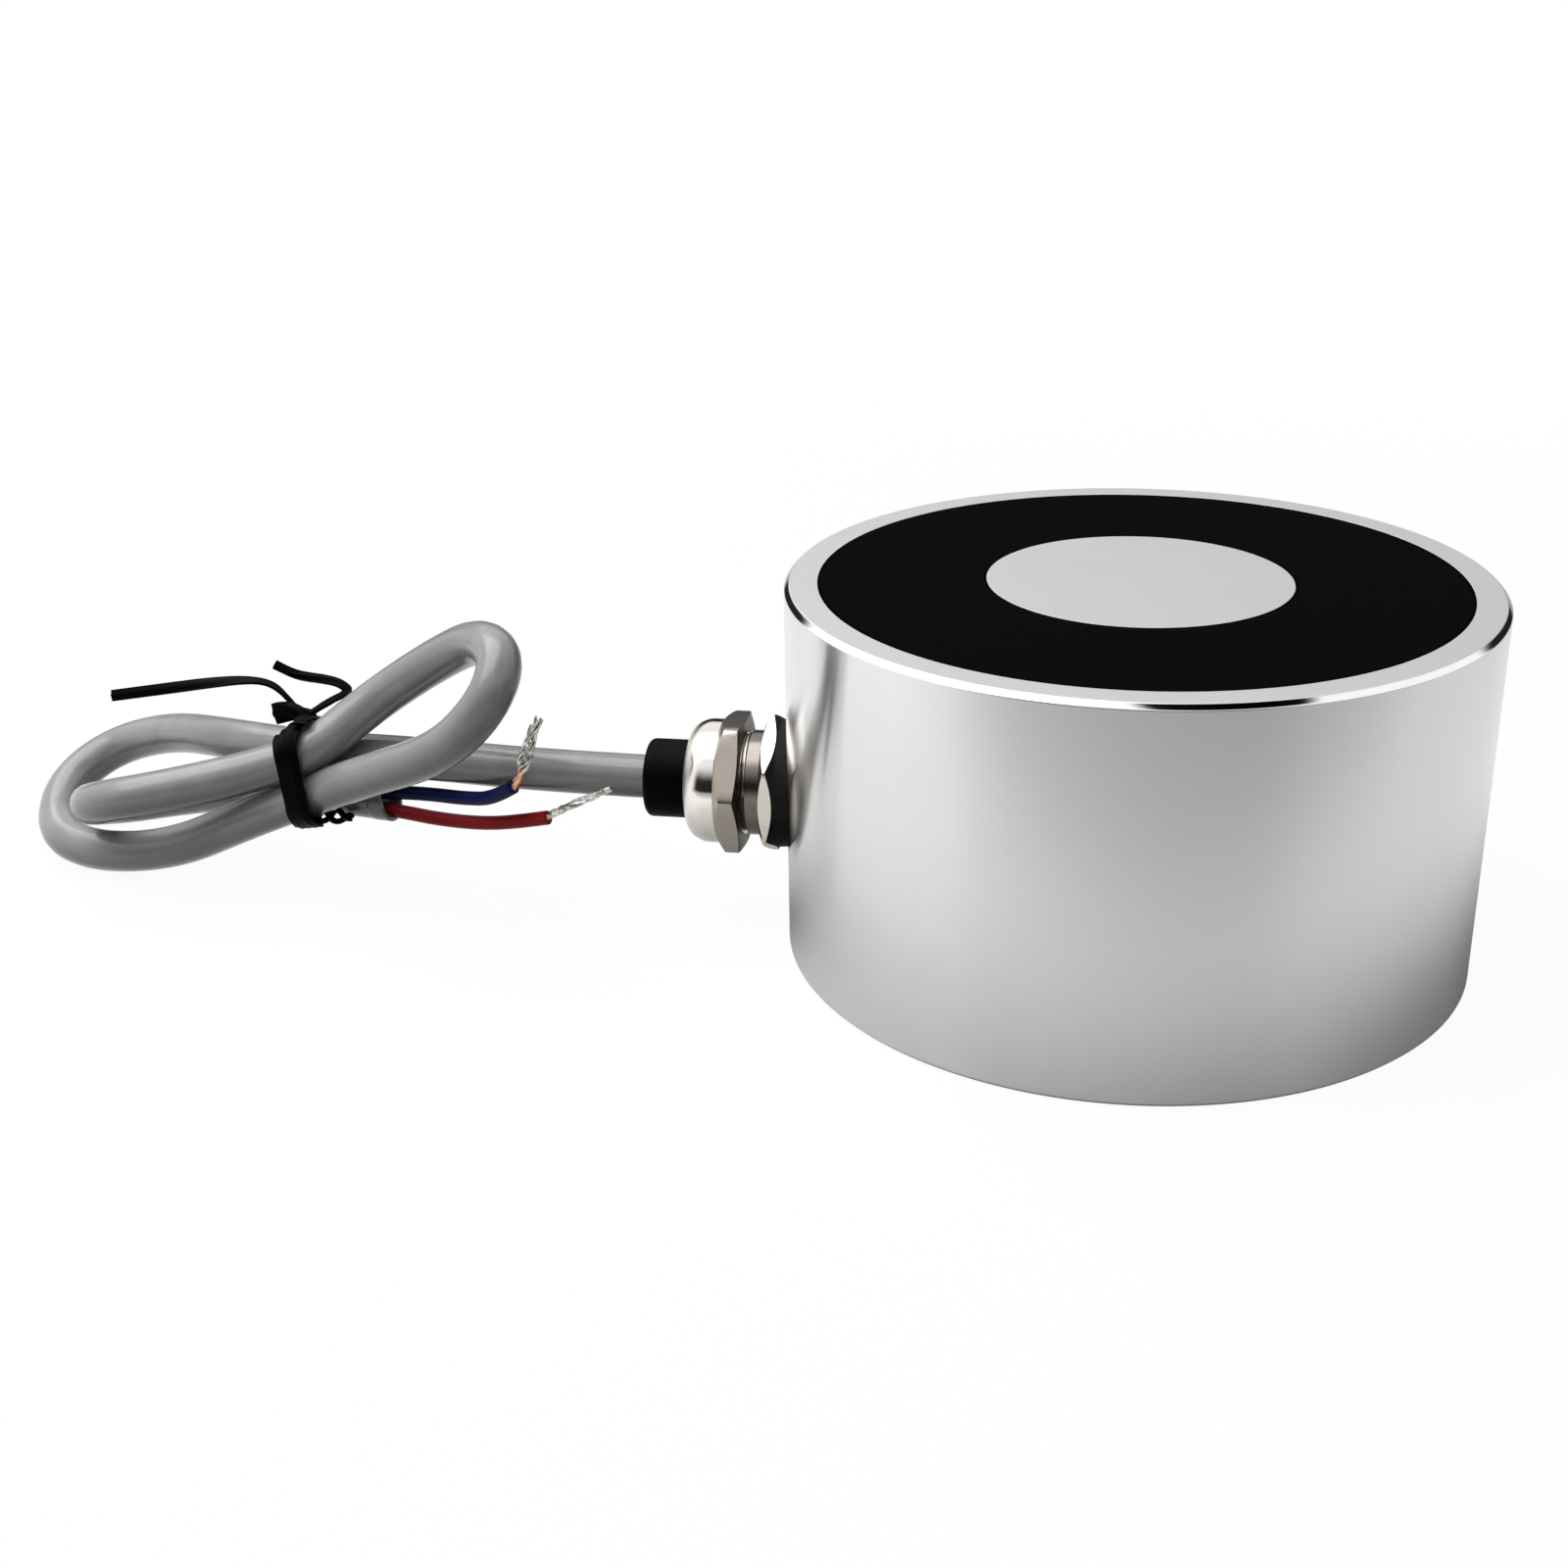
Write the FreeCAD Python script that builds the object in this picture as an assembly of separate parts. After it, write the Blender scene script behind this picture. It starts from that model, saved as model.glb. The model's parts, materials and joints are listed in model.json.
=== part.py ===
import FreeCAD, Part
import math
import os

# Round pot electromagnet with a side cable gland and a short lead tied in a hank.
# Millimetres, Z up. The origin is the centre of the cup's back face, which carries the
# mounting thread. The holding face is on top, and the gland stands out along -X.

V = FreeCAD.Vector
UP = V(0, 0, 1)
OUTWARD = V(-1, 0, 0)

# Steel cup, turned in one piece with its centre pole
CUP_DIAMETER = 63.0
CUP_HEIGHT = 35.0
BACK_THICKNESS = 8.0
RIM_WALL = 3.0
POLE_DIAMETER = 27.0
RIM_CHAMFER = 0.55
BACK_CHAMFER = 0.4

# Tapped hole in the back: core diameter of an 8 mm coarse thread
MOUNT_HOLE_DIAMETER = 6.8
MOUNT_HOLE_DEPTH = 12.0
MOUNT_MOUTH_CHAMFER = 0.7
DRILL_POINT_ANGLE = 118.0

# Coil in the groove
POLE_CLEARANCE = 0.25
BOBBIN_HUB_WALL = 1.0
BOBBIN_FLANGE = 1.2
FLANGE_LIP = 1.0
LEAD_SPACE = 3.2
TAPE_THICKNESS = 0.3
RESIN_CAP = 3.0

# Splices between the winding's wires and the lead's cores
CORE_DIAMETER = 1.3
CORE_SPACING = 1.5
SLEEVE_DIAMETER = 1.9
SLEEVE_LENGTH = 7.0
SLEEVE_START_ANGLE = 10.0
CORE_STRAIGHT = 2.0
CORE_BEND_SETBACK = 0.35
COIL_WIRE_DIAMETER = 0.6
COIL_WIRE_STRAIGHT = 1.6
COIL_WIRE_SWEEP_ANGLE = 9.0
COIL_WIRE_BITE = 0.3

# Cable gland, from the cup's wall outwards
GLAND_THREAD_DIAMETER = 10.0
PORT_ABOVE_FLOOR = 0.65
SEAT_DEPTH = 0.5
SEAT_DIAMETER = 12.0
STUB_PROUD = 0.5
GASKET_DIAMETER = 11.6
GASKET_THICKNESS = 1.4
BODY_HEX_FLATS = 12.2
BODY_HEX_LENGTH = 1.4
BODY_HEX_CORNER_ANGLE = 30.0
BODY_HEX_BEVEL = 0.6
HEX_FACE_STEP = 0.1
BARE_THREAD = 2.0
NUT_THREAD_LENGTH = 2.8
NUT_HEX_FLATS = 12.2
NUT_HEX_LENGTH = 2.2
NUT_HEX_CORNER_ANGLE = 5.0
NUT_HEX_BEVEL = 0.55
DOME_DIAMETER = 11.9
DOME_STRAIGHT = 1.0
DOME_LENGTH = 3.2
DOME_LIP = 0.25

# Rubber bush squeezed on the cable
BUSH_DIAMETER = 7.5
BUSH_REACH = 4.1
BUSH_ROUND = 0.7
BUSH_DEPTH = 4.0
COLLAR_THICKNESS = 1.2
COLLAR_GAP = 0.4

# Lead: two cores in a round sheath
CABLE_DIAMETER = 4.2
CABLE_CLEARANCE = 0.2
STRAND_DIAMETER = 0.8
ARC_SHARE_OF_RUN = 0.45

# Lead's route from the mouth of the bush: out of the gland, round the outer left loop,
# up round the right loop, round the inner left loop and back through the tie.
CABLE_ROUTE = [
    (0.0, 0.0, 0.0),
    (-10.5, 0.0, 0.0),
    (-23.5, 1.0, 0.2),
    (-35.7, 2.6, 0.0),
    (-45.7, 6.5, -1.2),
    (-55.2, 13.0, -3.5),
    (-63.2, 14.5, -6.2),
    (-67.2, 10.0, -9.0),
    (-65.2, 3.0, -11.1),
    (-59.2, -0.6, -11.5),
    (-49.7, -1.6, -10.3),
    (-40.7, -2.3, -6.5),
    (-34.7, -2.4, -4.0),
    (-26.7, -4.2, -0.2),
    (-18.2, -8.0, 4.6),
    (-12.7, -10.0, 10.2),
    (-11.5, -7.0, 14.0),
    (-15.2, -2.0, 14.2),
    (-21.2, 1.0, 10.5),
    (-28.2, 1.0, 5.6),
    (-33.0, -2.4, 1.7),
    (-39.3, -2.8, -0.3),
    (-47.2, -5.2, -1.9),
    (-54.5, -5.2, -3.6),
    (-58.7, -1.0, -6.1),
    (-57.3, 4.5, -8.2),
    (-51.2, 6.0, -7.5),
    (-43.7, 4.4, -5.8),
    (-35.7, 2.2, -4.7),
    (-28.2, 1.5, -4.8),
]

# Cores beyond the sheath's end, and the bare strands beyond them, from the same mouth
RED_ROUTE = [
    (-28.2, 1.2, -5.4),
    (-24.7, 1.0, -5.65),
    (-20.2, 0.3, -5.85),
    (-14.7, -1.4, -5.15),
    (-9.7, -3.0, -3.45),
]
BLUE_ROUTE = [
    (-28.2, 1.8, -4.1),
    (-24.7, 1.2, -3.75),
    (-20.7, 0.2, -3.55),
    (-16.2, -2.0, -2.45),
    (-12.1, -3.6, 0.05),
]
RED_STRAND_ROUTE = [RED_ROUTE[-1], (-6.2, -3.8, -1.75), (-2.6, -4.5, 0.65)]
BLUE_STRAND_ROUTE = [BLUE_ROUTE[-1], (-10.9, -3.8, 2.6), (-9.2, -4.0, 7.1)]

# Twist tie: a band round the four strands, a knot on top and loose ends
TIE_DISTANCE = 35.5
TIE_WIDTH = 3.0
TIE_THICKNESS = 0.7
TIE_CLEARANCE = 0.35
TIE_KNOT_DIAMETER = 1.9
TIE_TAIL_DIAMETER = 0.9
TIE_KNOT_ROUTE = [(-34.3, 0.3, 3.7), (-35.8, 0.6, 4.4), (-37.5, 1.3, 4.9)]
TIE_LONG_TAIL_ROUTE = [(-36.4, 0.7, 4.6), (-38.4, 1.3, 6.8), (-42.2, 2.2, 7.0), (-48.8, 3.0, 5.8), (-55.2, 3.5, 4.3)]
TIE_SHORT_TAIL_ROUTE = [
    (-34.6, -0.2, 3.5),
    (-32.9, 2.4, 4.5),
    (-31.7, 4.4, 5.2),
    (-34.1, 5.2, 6.1),
    (-37.3, 5.2, 6.8),
    (-39.4, 5.2, 7.9),
]
TIE_TWIST_ROUTE = [(-34.4, -1.2, -6.7), (-32.6, -1.2, -6.5), (-30.2, -1.0, -5.9)]

# Sizes that follow from the ones above
cup_radius = CUP_DIAMETER / 2
groove_radius = cup_radius - RIM_WALL
pole_radius = POLE_DIAMETER / 2
cable_radius = CABLE_DIAMETER / 2

hub_inner = pole_radius + POLE_CLEARANCE
hub_outer = hub_inner + BOBBIN_HUB_WALL
flange_radius = groove_radius - LEAD_SPACE
tape_radius = flange_radius - FLANGE_LIP
winding_radius = tape_radius - TAPE_THICKNESS
bobbin_top = CUP_HEIGHT - RESIN_CAP
winding_bottom = BACK_THICKNESS + BOBBIN_FLANGE
winding_top = bobbin_top - BOBBIN_FLANGE
splice_radius = (tape_radius + groove_radius) / 2

thread_radius = GLAND_THREAD_DIAMETER / 2
bush_radius = BUSH_DIAMETER / 2
gland_height = BACK_THICKNESS + thread_radius + PORT_ABOVE_FLOOR
stub_end = groove_radius - STUB_PROUD
seat = cup_radius - SEAT_DEPTH
body_hex_start = seat + GASKET_THICKNESS
body_hex_end = body_hex_start + BODY_HEX_LENGTH
nut_start = body_hex_end + BARE_THREAD
nut_hex_end = nut_start + NUT_HEX_LENGTH
body_end = nut_start + NUT_THREAD_LENGTH
shoulder = body_end + COLLAR_THICKNESS
dome_end = nut_hex_end + DOME_LENGTH
bush_end = dome_end + BUSH_REACH
bush_start = body_end - BUSH_DEPTH

mouth = V(-bush_end, 0, gland_height)


def turned(section):
    """Solid of revolution about the cup's axis from (radius, height) points."""
    outline = Part.makePolygon([V(r, 0, z) for r, z in section + section[:1]])
    return Part.Face(outline).revolve(V(0, 0, 0), UP, 360)


def gland_turned(section):
    """Solid of revolution about the gland's axis from (distance from the cup's axis, radius) points."""
    outline = Part.makePolygon([V(-x, 0, gland_height + r) for x, r in section + section[:1]])
    return Part.Face(outline).revolve(V(0, 0, gland_height), OUTWARD, 360)


def gland_rod(start, end, radius):
    """Round bar on the gland's axis between two distances from the cup's axis."""
    return Part.makeCylinder(radius, end - start, V(-start, 0, gland_height), OUTWARD)


def gland_hexagon(start, length, flats, corner_angle):
    """Hexagonal prism on the gland's axis, with one corner at this angle above -Y."""
    corner = flats / 2 / math.cos(math.radians(30))
    angles = [math.radians(corner_angle + 60 * k) for k in range(7)]
    points = [V(-start, -corner * math.cos(a), gland_height + corner * math.sin(a)) for a in angles]
    return Part.Face(Part.makePolygon(points)).extrude(OUTWARD * length)


def from_mouth(route):
    """Route points that are given from the mouth of the bush, in the part's frame."""
    return [mouth + V(*point) for point in route]


def tangent_path(points):
    """Straight runs joined by tangent arcs, each as large as its two runs allow, and the arcs' radii."""
    edges = []
    radii = []
    start = points[0]
    for before, corner, after in zip(points, points[1:], points[2:]):
        run_in = corner - before
        run_out = after - corner
        setback = ARC_SHARE_OF_RUN * min(run_in.Length, run_out.Length)
        half_turn = run_in.getAngle(run_out) / 2
        radius = setback / math.tan(half_turn)
        run_in.normalize()
        run_out.normalize()
        inward = run_out - run_in
        inward.normalize()
        arc_start = corner - run_in * setback
        arc_end = corner + run_out * setback
        arc_middle = corner + inward * (radius / math.cos(half_turn) - radius)
        edges.append(Part.LineSegment(start, arc_start).toShape())
        edges.append(Part.Arc(arc_start, arc_middle, arc_end).toShape())
        radii.append(radius)
        start = arc_end
    edges.append(Part.LineSegment(start, points[-1]).toShape())
    return Part.Wire(edges), radii


def tube(points, diameter, name):
    """Round tube along a route, with its radii and its volume against section times length printed."""
    path, radii = tangent_path(points)
    section = Part.Wire(Part.makeCircle(diameter / 2, points[0], points[1] - points[0]))
    solid = path.makePipe(Part.Face(section))
    expected = math.pi * diameter ** 2 / 4 * path.Length
    print(name, "length %.1f" % path.Length, "volume ratio %.4f" % (solid.Volume / expected))
    print("  radii", " ".join("%.1f" % r for r in radii))
    return solid


def pot_core():
    """Cup with its pole, groove, tapped back hole, gland port and flat seat for the gland."""
    hole_radius = MOUNT_HOLE_DIAMETER / 2
    drill_tip = MOUNT_HOLE_DEPTH + hole_radius / math.tan(math.radians(DRILL_POINT_ANGLE / 2))
    cup = turned([
        (hole_radius + MOUNT_MOUTH_CHAMFER, 0),
        (cup_radius - BACK_CHAMFER, 0),
        (cup_radius, BACK_CHAMFER),
        (cup_radius, CUP_HEIGHT - RIM_CHAMFER),
        (cup_radius - RIM_CHAMFER, CUP_HEIGHT),
        (groove_radius, CUP_HEIGHT),
        (groove_radius, BACK_THICKNESS),
        (pole_radius, BACK_THICKNESS),
        (pole_radius, CUP_HEIGHT),
        (0, CUP_HEIGHT),
        (0, drill_tip),
        (hole_radius, MOUNT_HOLE_DEPTH),
        (hole_radius, MOUNT_MOUTH_CHAMFER),
    ])
    port = gland_rod(stub_end, cup_radius, thread_radius)
    flat_seat = gland_rod(seat, cup_radius, SEAT_DIAMETER / 2)
    return cup.cut(port).cut(flat_seat)


def coil_bobbin():
    """Nylon former: a hub with two flanges."""
    return turned([
        (hub_inner, BACK_THICKNESS),
        (flange_radius, BACK_THICKNESS),
        (flange_radius, winding_bottom),
        (hub_outer, winding_bottom),
        (hub_outer, winding_top),
        (flange_radius, winding_top),
        (flange_radius, bobbin_top),
        (hub_inner, bobbin_top),
    ])


def coil_ring(inner, outer):
    """Ring between the bobbin's flanges."""
    return turned([
        (inner, winding_bottom),
        (outer, winding_bottom),
        (outer, winding_top),
        (inner, winding_top),
    ])


def splice(side):
    """Core, shrink sleeve and winding wire on one side of the gland, laid round the groove at its height."""
    def around(radius, angle):
        turn = math.radians(angle)
        return V(-radius * math.cos(turn), side * radius * math.sin(turn), gland_height)

    chord_angle = math.degrees(2 * math.asin(SLEEVE_LENGTH / 2 / splice_radius))
    sleeve_start = around(splice_radius, SLEEVE_START_ANGLE)
    sleeve_end = around(splice_radius, SLEEVE_START_ANGLE + chord_angle)
    along = sleeve_end - sleeve_start
    along.normalize()
    core_y = side * CORE_SPACING / 2
    core_points = [
        V(-groove_radius, core_y, gland_height),
        V(-splice_radius - CORE_BEND_SETBACK, core_y, gland_height),
        sleeve_start - along * CORE_STRAIGHT,
        sleeve_start,
    ]
    wire_end_angle = SLEEVE_START_ANGLE + chord_angle + COIL_WIRE_SWEEP_ANGLE
    wire_points = [
        sleeve_end,
        sleeve_end + along * COIL_WIRE_STRAIGHT,
        around(winding_radius - COIL_WIRE_BITE, wire_end_angle),
    ]
    core = tube(core_points, CORE_DIAMETER, "inner core")
    sleeve = Part.makeCylinder(SLEEVE_DIAMETER / 2, SLEEVE_LENGTH, sleeve_start, along)
    wire = tube(wire_points, COIL_WIRE_DIAMETER, "coil wire")
    return core, sleeve, wire


def gland_body():
    """Threaded stub, bevelled hexagon and nut thread, bored for the bush and the cable."""
    corner = BODY_HEX_FLATS / 2 / math.cos(math.radians(30))
    face = BODY_HEX_FLATS / 2 - HEX_FACE_STEP
    hexagon = gland_hexagon(body_hex_start, BODY_HEX_LENGTH, BODY_HEX_FLATS, BODY_HEX_CORNER_ANGLE)
    bevels = gland_turned([
        (body_hex_start, 0),
        (body_hex_start, face),
        (body_hex_end - BODY_HEX_BEVEL, corner),
        (body_hex_end, face),
        (body_hex_end, 0),
    ])
    solid = hexagon.common(bevels)
    solid = solid.fuse(gland_rod(stub_end, body_end, thread_radius))
    solid = solid.cut(gland_rod(stub_end, body_end, cable_radius + CABLE_CLEARANCE))
    return solid.cut(gland_rod(bush_start, body_end, bush_radius))


def gland_gasket():
    """Flat ring between the hexagon and the cup's seat."""
    ring = gland_rod(seat, body_hex_start, GASKET_DIAMETER / 2)
    return ring.cut(gland_rod(seat, body_hex_start, thread_radius))


def gland_dome_nut():
    """Bevelled hexagon that runs into a dome with a round mouth for the bush."""
    corner = NUT_HEX_FLATS / 2 / math.cos(math.radians(30))
    face = NUT_HEX_FLATS / 2 - HEX_FACE_STEP
    hexagon = gland_hexagon(nut_start, NUT_HEX_LENGTH, NUT_HEX_FLATS, NUT_HEX_CORNER_ANGLE)
    bevels = gland_turned([
        (nut_start, 0),
        (nut_start, face),
        (nut_start + NUT_HEX_BEVEL, corner),
        (nut_hex_end - NUT_HEX_BEVEL, corner),
        (nut_hex_end, face),
        (nut_hex_end, 0),
    ])
    dome_radius = DOME_DIAMETER / 2
    lip_radius = bush_radius + DOME_LIP
    curve_start = nut_hex_end + DOME_STRAIGHT
    bulge = math.sin(math.radians(45))
    curve_middle_x = curve_start + (dome_end - curve_start) * bulge
    curve_middle_r = lip_radius + (dome_radius - lip_radius) * bulge

    def point(x, r):
        return V(-x, 0, gland_height + r)

    edges = [
        Part.LineSegment(point(nut_start, 0), point(nut_start, thread_radius)).toShape(),
        Part.LineSegment(point(nut_start, thread_radius), point(nut_hex_end, dome_radius)).toShape(),
        Part.LineSegment(point(nut_hex_end, dome_radius), point(curve_start, dome_radius)).toShape(),
        Part.Arc(
            point(curve_start, dome_radius),
            point(curve_middle_x, curve_middle_r),
            point(dome_end, lip_radius),
        ).toShape(),
        Part.LineSegment(point(dome_end, lip_radius), point(dome_end, 0)).toShape(),
        Part.LineSegment(point(dome_end, 0), point(nut_start, 0)).toShape(),
    ]
    dome = Part.Face(Part.Wire(edges)).revolve(V(0, 0, gland_height), OUTWARD, 360)
    solid = hexagon.common(bevels).fuse(dome)
    solid = solid.cut(gland_rod(nut_start, shoulder, thread_radius))
    return solid.cut(gland_rod(nut_start, dome_end, bush_radius))


def gland_seal_bush():
    """Rubber sleeve on the cable, with a collar held between the body's end and the nut's shoulder."""
    sleeve = gland_rod(bush_start, bush_end, bush_radius)
    outer_rim = min(sleeve.Edges, key=lambda edge: edge.CenterOfMass.x)
    sleeve = sleeve.makeFillet(BUSH_ROUND, [outer_rim])
    collar = gland_rod(body_end, shoulder, thread_radius - COLLAR_GAP)
    return sleeve.fuse(collar).cut(gland_rod(bush_start, bush_end, cable_radius))


def cable_sheath():
    """Sheath from the groove wall through the gland, and along its free route to its cut end."""
    entry = gland_rod(groove_radius, bush_end, cable_radius)
    return entry.fuse(tube(from_mouth(CABLE_ROUTE), CABLE_DIAMETER, "cable sheath"))


def strands_outline(path, x, margin):
    """Outline round the sheath's four strands where they cross the plane at x, this far outside them."""
    corner = V(x, -cup_radius, gland_height - cup_radius)
    plane = Part.makePlane(CUP_DIAMETER, CUP_DIAMETER, corner, V(1, 0, 0), V(0, 1, 0))
    crossings = [vertex.Point for vertex in path.section(plane).Vertexes]
    centre = sum(crossings, V()) * (1 / len(crossings))
    crossings.sort(key=lambda p: math.atan2(p.z - centre.z, p.y - centre.y))
    outline = Part.makePolygon(crossings + crossings[:1])
    return Part.Face(outline).makeOffset2D(cable_radius + margin, 0).OuterWire


def twist_tie():
    """Band round the four strands, with the knot, the two loose tails and the twisted end below."""
    path, _ = tangent_path(from_mouth(CABLE_ROUTE))
    middle = mouth.x - TIE_DISTANCE
    sides = (middle - TIE_WIDTH / 2, middle + TIE_WIDTH / 2)

    def sleeve(margin):
        outlines = [strands_outline(path, x, margin) for x in sides]
        return Part.makeLoft(outlines, True, True)

    band = sleeve(TIE_CLEARANCE + TIE_THICKNESS).cut(sleeve(TIE_CLEARANCE))
    loose = [
        tube(from_mouth(TIE_KNOT_ROUTE), TIE_KNOT_DIAMETER, "tie knot"),
        tube(from_mouth(TIE_LONG_TAIL_ROUTE), TIE_TAIL_DIAMETER, "tie long tail"),
        tube(from_mouth(TIE_SHORT_TAIL_ROUTE), TIE_TAIL_DIAMETER, "tie short tail"),
        tube(from_mouth(TIE_TWIST_ROUTE), TIE_TAIL_DIAMETER, "tie twist"),
    ]
    return band.fuse(loose)


def potting_compound(buried):
    """Resin that fills what the buried pieces leave of the groove."""
    ring = turned([
        (pole_radius, BACK_THICKNESS),
        (groove_radius, BACK_THICKNESS),
        (groove_radius, CUP_HEIGHT),
        (pole_radius, CUP_HEIGHT),
    ])
    return ring.cut(buried)


parts = {}
parts["pot_core"] = pot_core()
parts["coil_bobbin"] = coil_bobbin()
parts["coil_winding"] = coil_ring(hub_outer, winding_radius)

red_core, red_sleeve, start_wire = splice(-1)
blue_core, blue_sleeve, finish_wire = splice(1)
parts["inner_red_core"] = red_core
parts["inner_blue_core"] = blue_core
parts["splice_sleeve_red"] = red_sleeve
parts["splice_sleeve_blue"] = blue_sleeve
parts["coil_lead_start"] = start_wire.cut(parts["coil_winding"])
parts["coil_lead_finish"] = finish_wire.cut(parts["coil_winding"])
parts["coil_tape"] = coil_ring(winding_radius, tape_radius).cut([start_wire, finish_wire])

parts["gland_body"] = gland_body()
parts["gland_gasket"] = gland_gasket()
parts["gland_dome_nut"] = gland_dome_nut()
parts["gland_seal_bush"] = gland_seal_bush()
parts["potting_compound"] = potting_compound([shape for name, shape in parts.items() if name != "pot_core"])

sheath = cable_sheath()
red_lead = tube(from_mouth(RED_ROUTE), CORE_DIAMETER, "red core")
blue_lead = tube(from_mouth(BLUE_ROUTE), CORE_DIAMETER, "blue core")
parts["cable_sheath"] = sheath
parts["red_core"] = red_lead.cut(sheath)
parts["blue_core"] = blue_lead.cut(sheath)
parts["red_strands"] = tube(from_mouth(RED_STRAND_ROUTE), STRAND_DIAMETER, "red strands").cut(red_lead)
parts["blue_strands"] = tube(from_mouth(BLUE_STRAND_ROUTE), STRAND_DIAMETER, "blue strands").cut(blue_lead)
parts["twist_tie"] = twist_tie()

os.makedirs("parts", exist_ok=True)
for name, shape in parts.items():
    shape.exportStep("parts/%s.step" % name)
    print(name, "solids", len(shape.Solids), "volume %.1f" % shape.Volume, "valid", shape.isValid())
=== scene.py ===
# %% [markdown]
# # A lifting electromagnet, from plain solids to a finished object
#
# The object is a round pot magnet: a turned steel cup with a pole in its middle, a coil under black resin,
# a plated cable gland in its side, and a short grey lead that is folded up and tied. The solids come from
# the CAD part and stay where they are. This lesson dresses them. It makes the visible pieces again with
# soft edges, threads and wound wires, in the same frame, and gives each piece a finish made of shader
# nodes. The main sizes could be typed in again, but they are read from the solids, so that both agree.

# %% Load the solids
import json
import math

import bmesh
import bpy
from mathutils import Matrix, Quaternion, Vector

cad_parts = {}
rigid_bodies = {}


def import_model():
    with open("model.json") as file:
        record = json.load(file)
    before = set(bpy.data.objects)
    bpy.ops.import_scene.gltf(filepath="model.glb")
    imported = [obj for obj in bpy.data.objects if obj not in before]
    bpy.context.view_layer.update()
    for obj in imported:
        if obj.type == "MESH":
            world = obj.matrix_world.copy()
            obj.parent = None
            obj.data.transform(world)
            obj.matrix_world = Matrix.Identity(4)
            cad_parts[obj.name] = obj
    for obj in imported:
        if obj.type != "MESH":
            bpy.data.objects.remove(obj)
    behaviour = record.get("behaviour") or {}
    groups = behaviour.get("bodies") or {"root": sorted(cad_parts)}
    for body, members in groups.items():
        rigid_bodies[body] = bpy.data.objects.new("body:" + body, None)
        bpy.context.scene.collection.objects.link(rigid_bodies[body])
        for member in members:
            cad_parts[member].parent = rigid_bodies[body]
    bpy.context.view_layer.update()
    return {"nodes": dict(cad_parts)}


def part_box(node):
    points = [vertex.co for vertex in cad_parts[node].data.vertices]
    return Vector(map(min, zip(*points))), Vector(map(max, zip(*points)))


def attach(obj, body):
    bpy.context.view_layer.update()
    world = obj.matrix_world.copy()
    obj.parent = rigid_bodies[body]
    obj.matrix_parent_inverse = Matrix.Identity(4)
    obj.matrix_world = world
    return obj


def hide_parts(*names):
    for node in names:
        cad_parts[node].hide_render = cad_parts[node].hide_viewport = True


MM = 0.001

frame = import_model()
scene = bpy.context.scene
scene.view_settings.view_transform = "Standard"


def in_mm(box):
    """A box's lowest and highest corners in millimetres, to the nearest micrometre."""
    return [[round(c / MM, 3) for c in corner] for corner in box]


# %% [markdown]
# ## Camera
#
# The camera comes first, because every later choice is judged through it. It could be moved by eye until
# the picture looks right. Here its place was worked out from the two ellipses of the cup, which give the
# height above the face and the distance. A long lens far away would flatten the ellipses, so the lens
# matters as much as the place.

# %% Set the camera
CAMERA_PLACE = Vector((-1.8, -177.74, 90.12)) * MM
CAMERA_YAW = math.radians(-9.72)
CAMERA_PITCH = math.radians(23.0)
CAMERA_ROLL = math.radians(-1.02)
LENS = 47.33
SENSOR_WIDTH = 36
NEAREST_SEEN = 10 * MM


def placed(name, data):
    """A new object in the scene."""
    made = bpy.data.objects.new(name, data)
    scene.collection.objects.link(made)
    return made


camera = placed("camera", bpy.data.cameras.new("camera"))
scene.camera = camera
camera.data.lens = LENS
camera.data.sensor_width = SENSOR_WIDTH
camera.data.clip_start = NEAREST_SEEN
looking = Vector((
    math.sin(CAMERA_YAW) * math.cos(CAMERA_PITCH),
    math.cos(CAMERA_YAW) * math.cos(CAMERA_PITCH),
    -math.sin(CAMERA_PITCH),
))
camera.location = CAMERA_PLACE
camera.rotation_mode = "QUATERNION"
camera.rotation_quaternion = looking.to_track_quat("-Z", "Y") @ Quaternion((0, 0, 1), CAMERA_ROLL)
print("camera", [round(c, 4) for c in camera.location])

# %% [markdown]
# ## Writing shader maths as Python
#
# A finish is a tree of nodes, and long sums of Math nodes are hard to read. The small class below wraps one
# output socket. Adding or multiplying two of them adds the Math node, so a mask reads as a formula. Every
# other node is made by one method, which sets the node's own settings first and its sockets after that.

# %% The socket class


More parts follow.
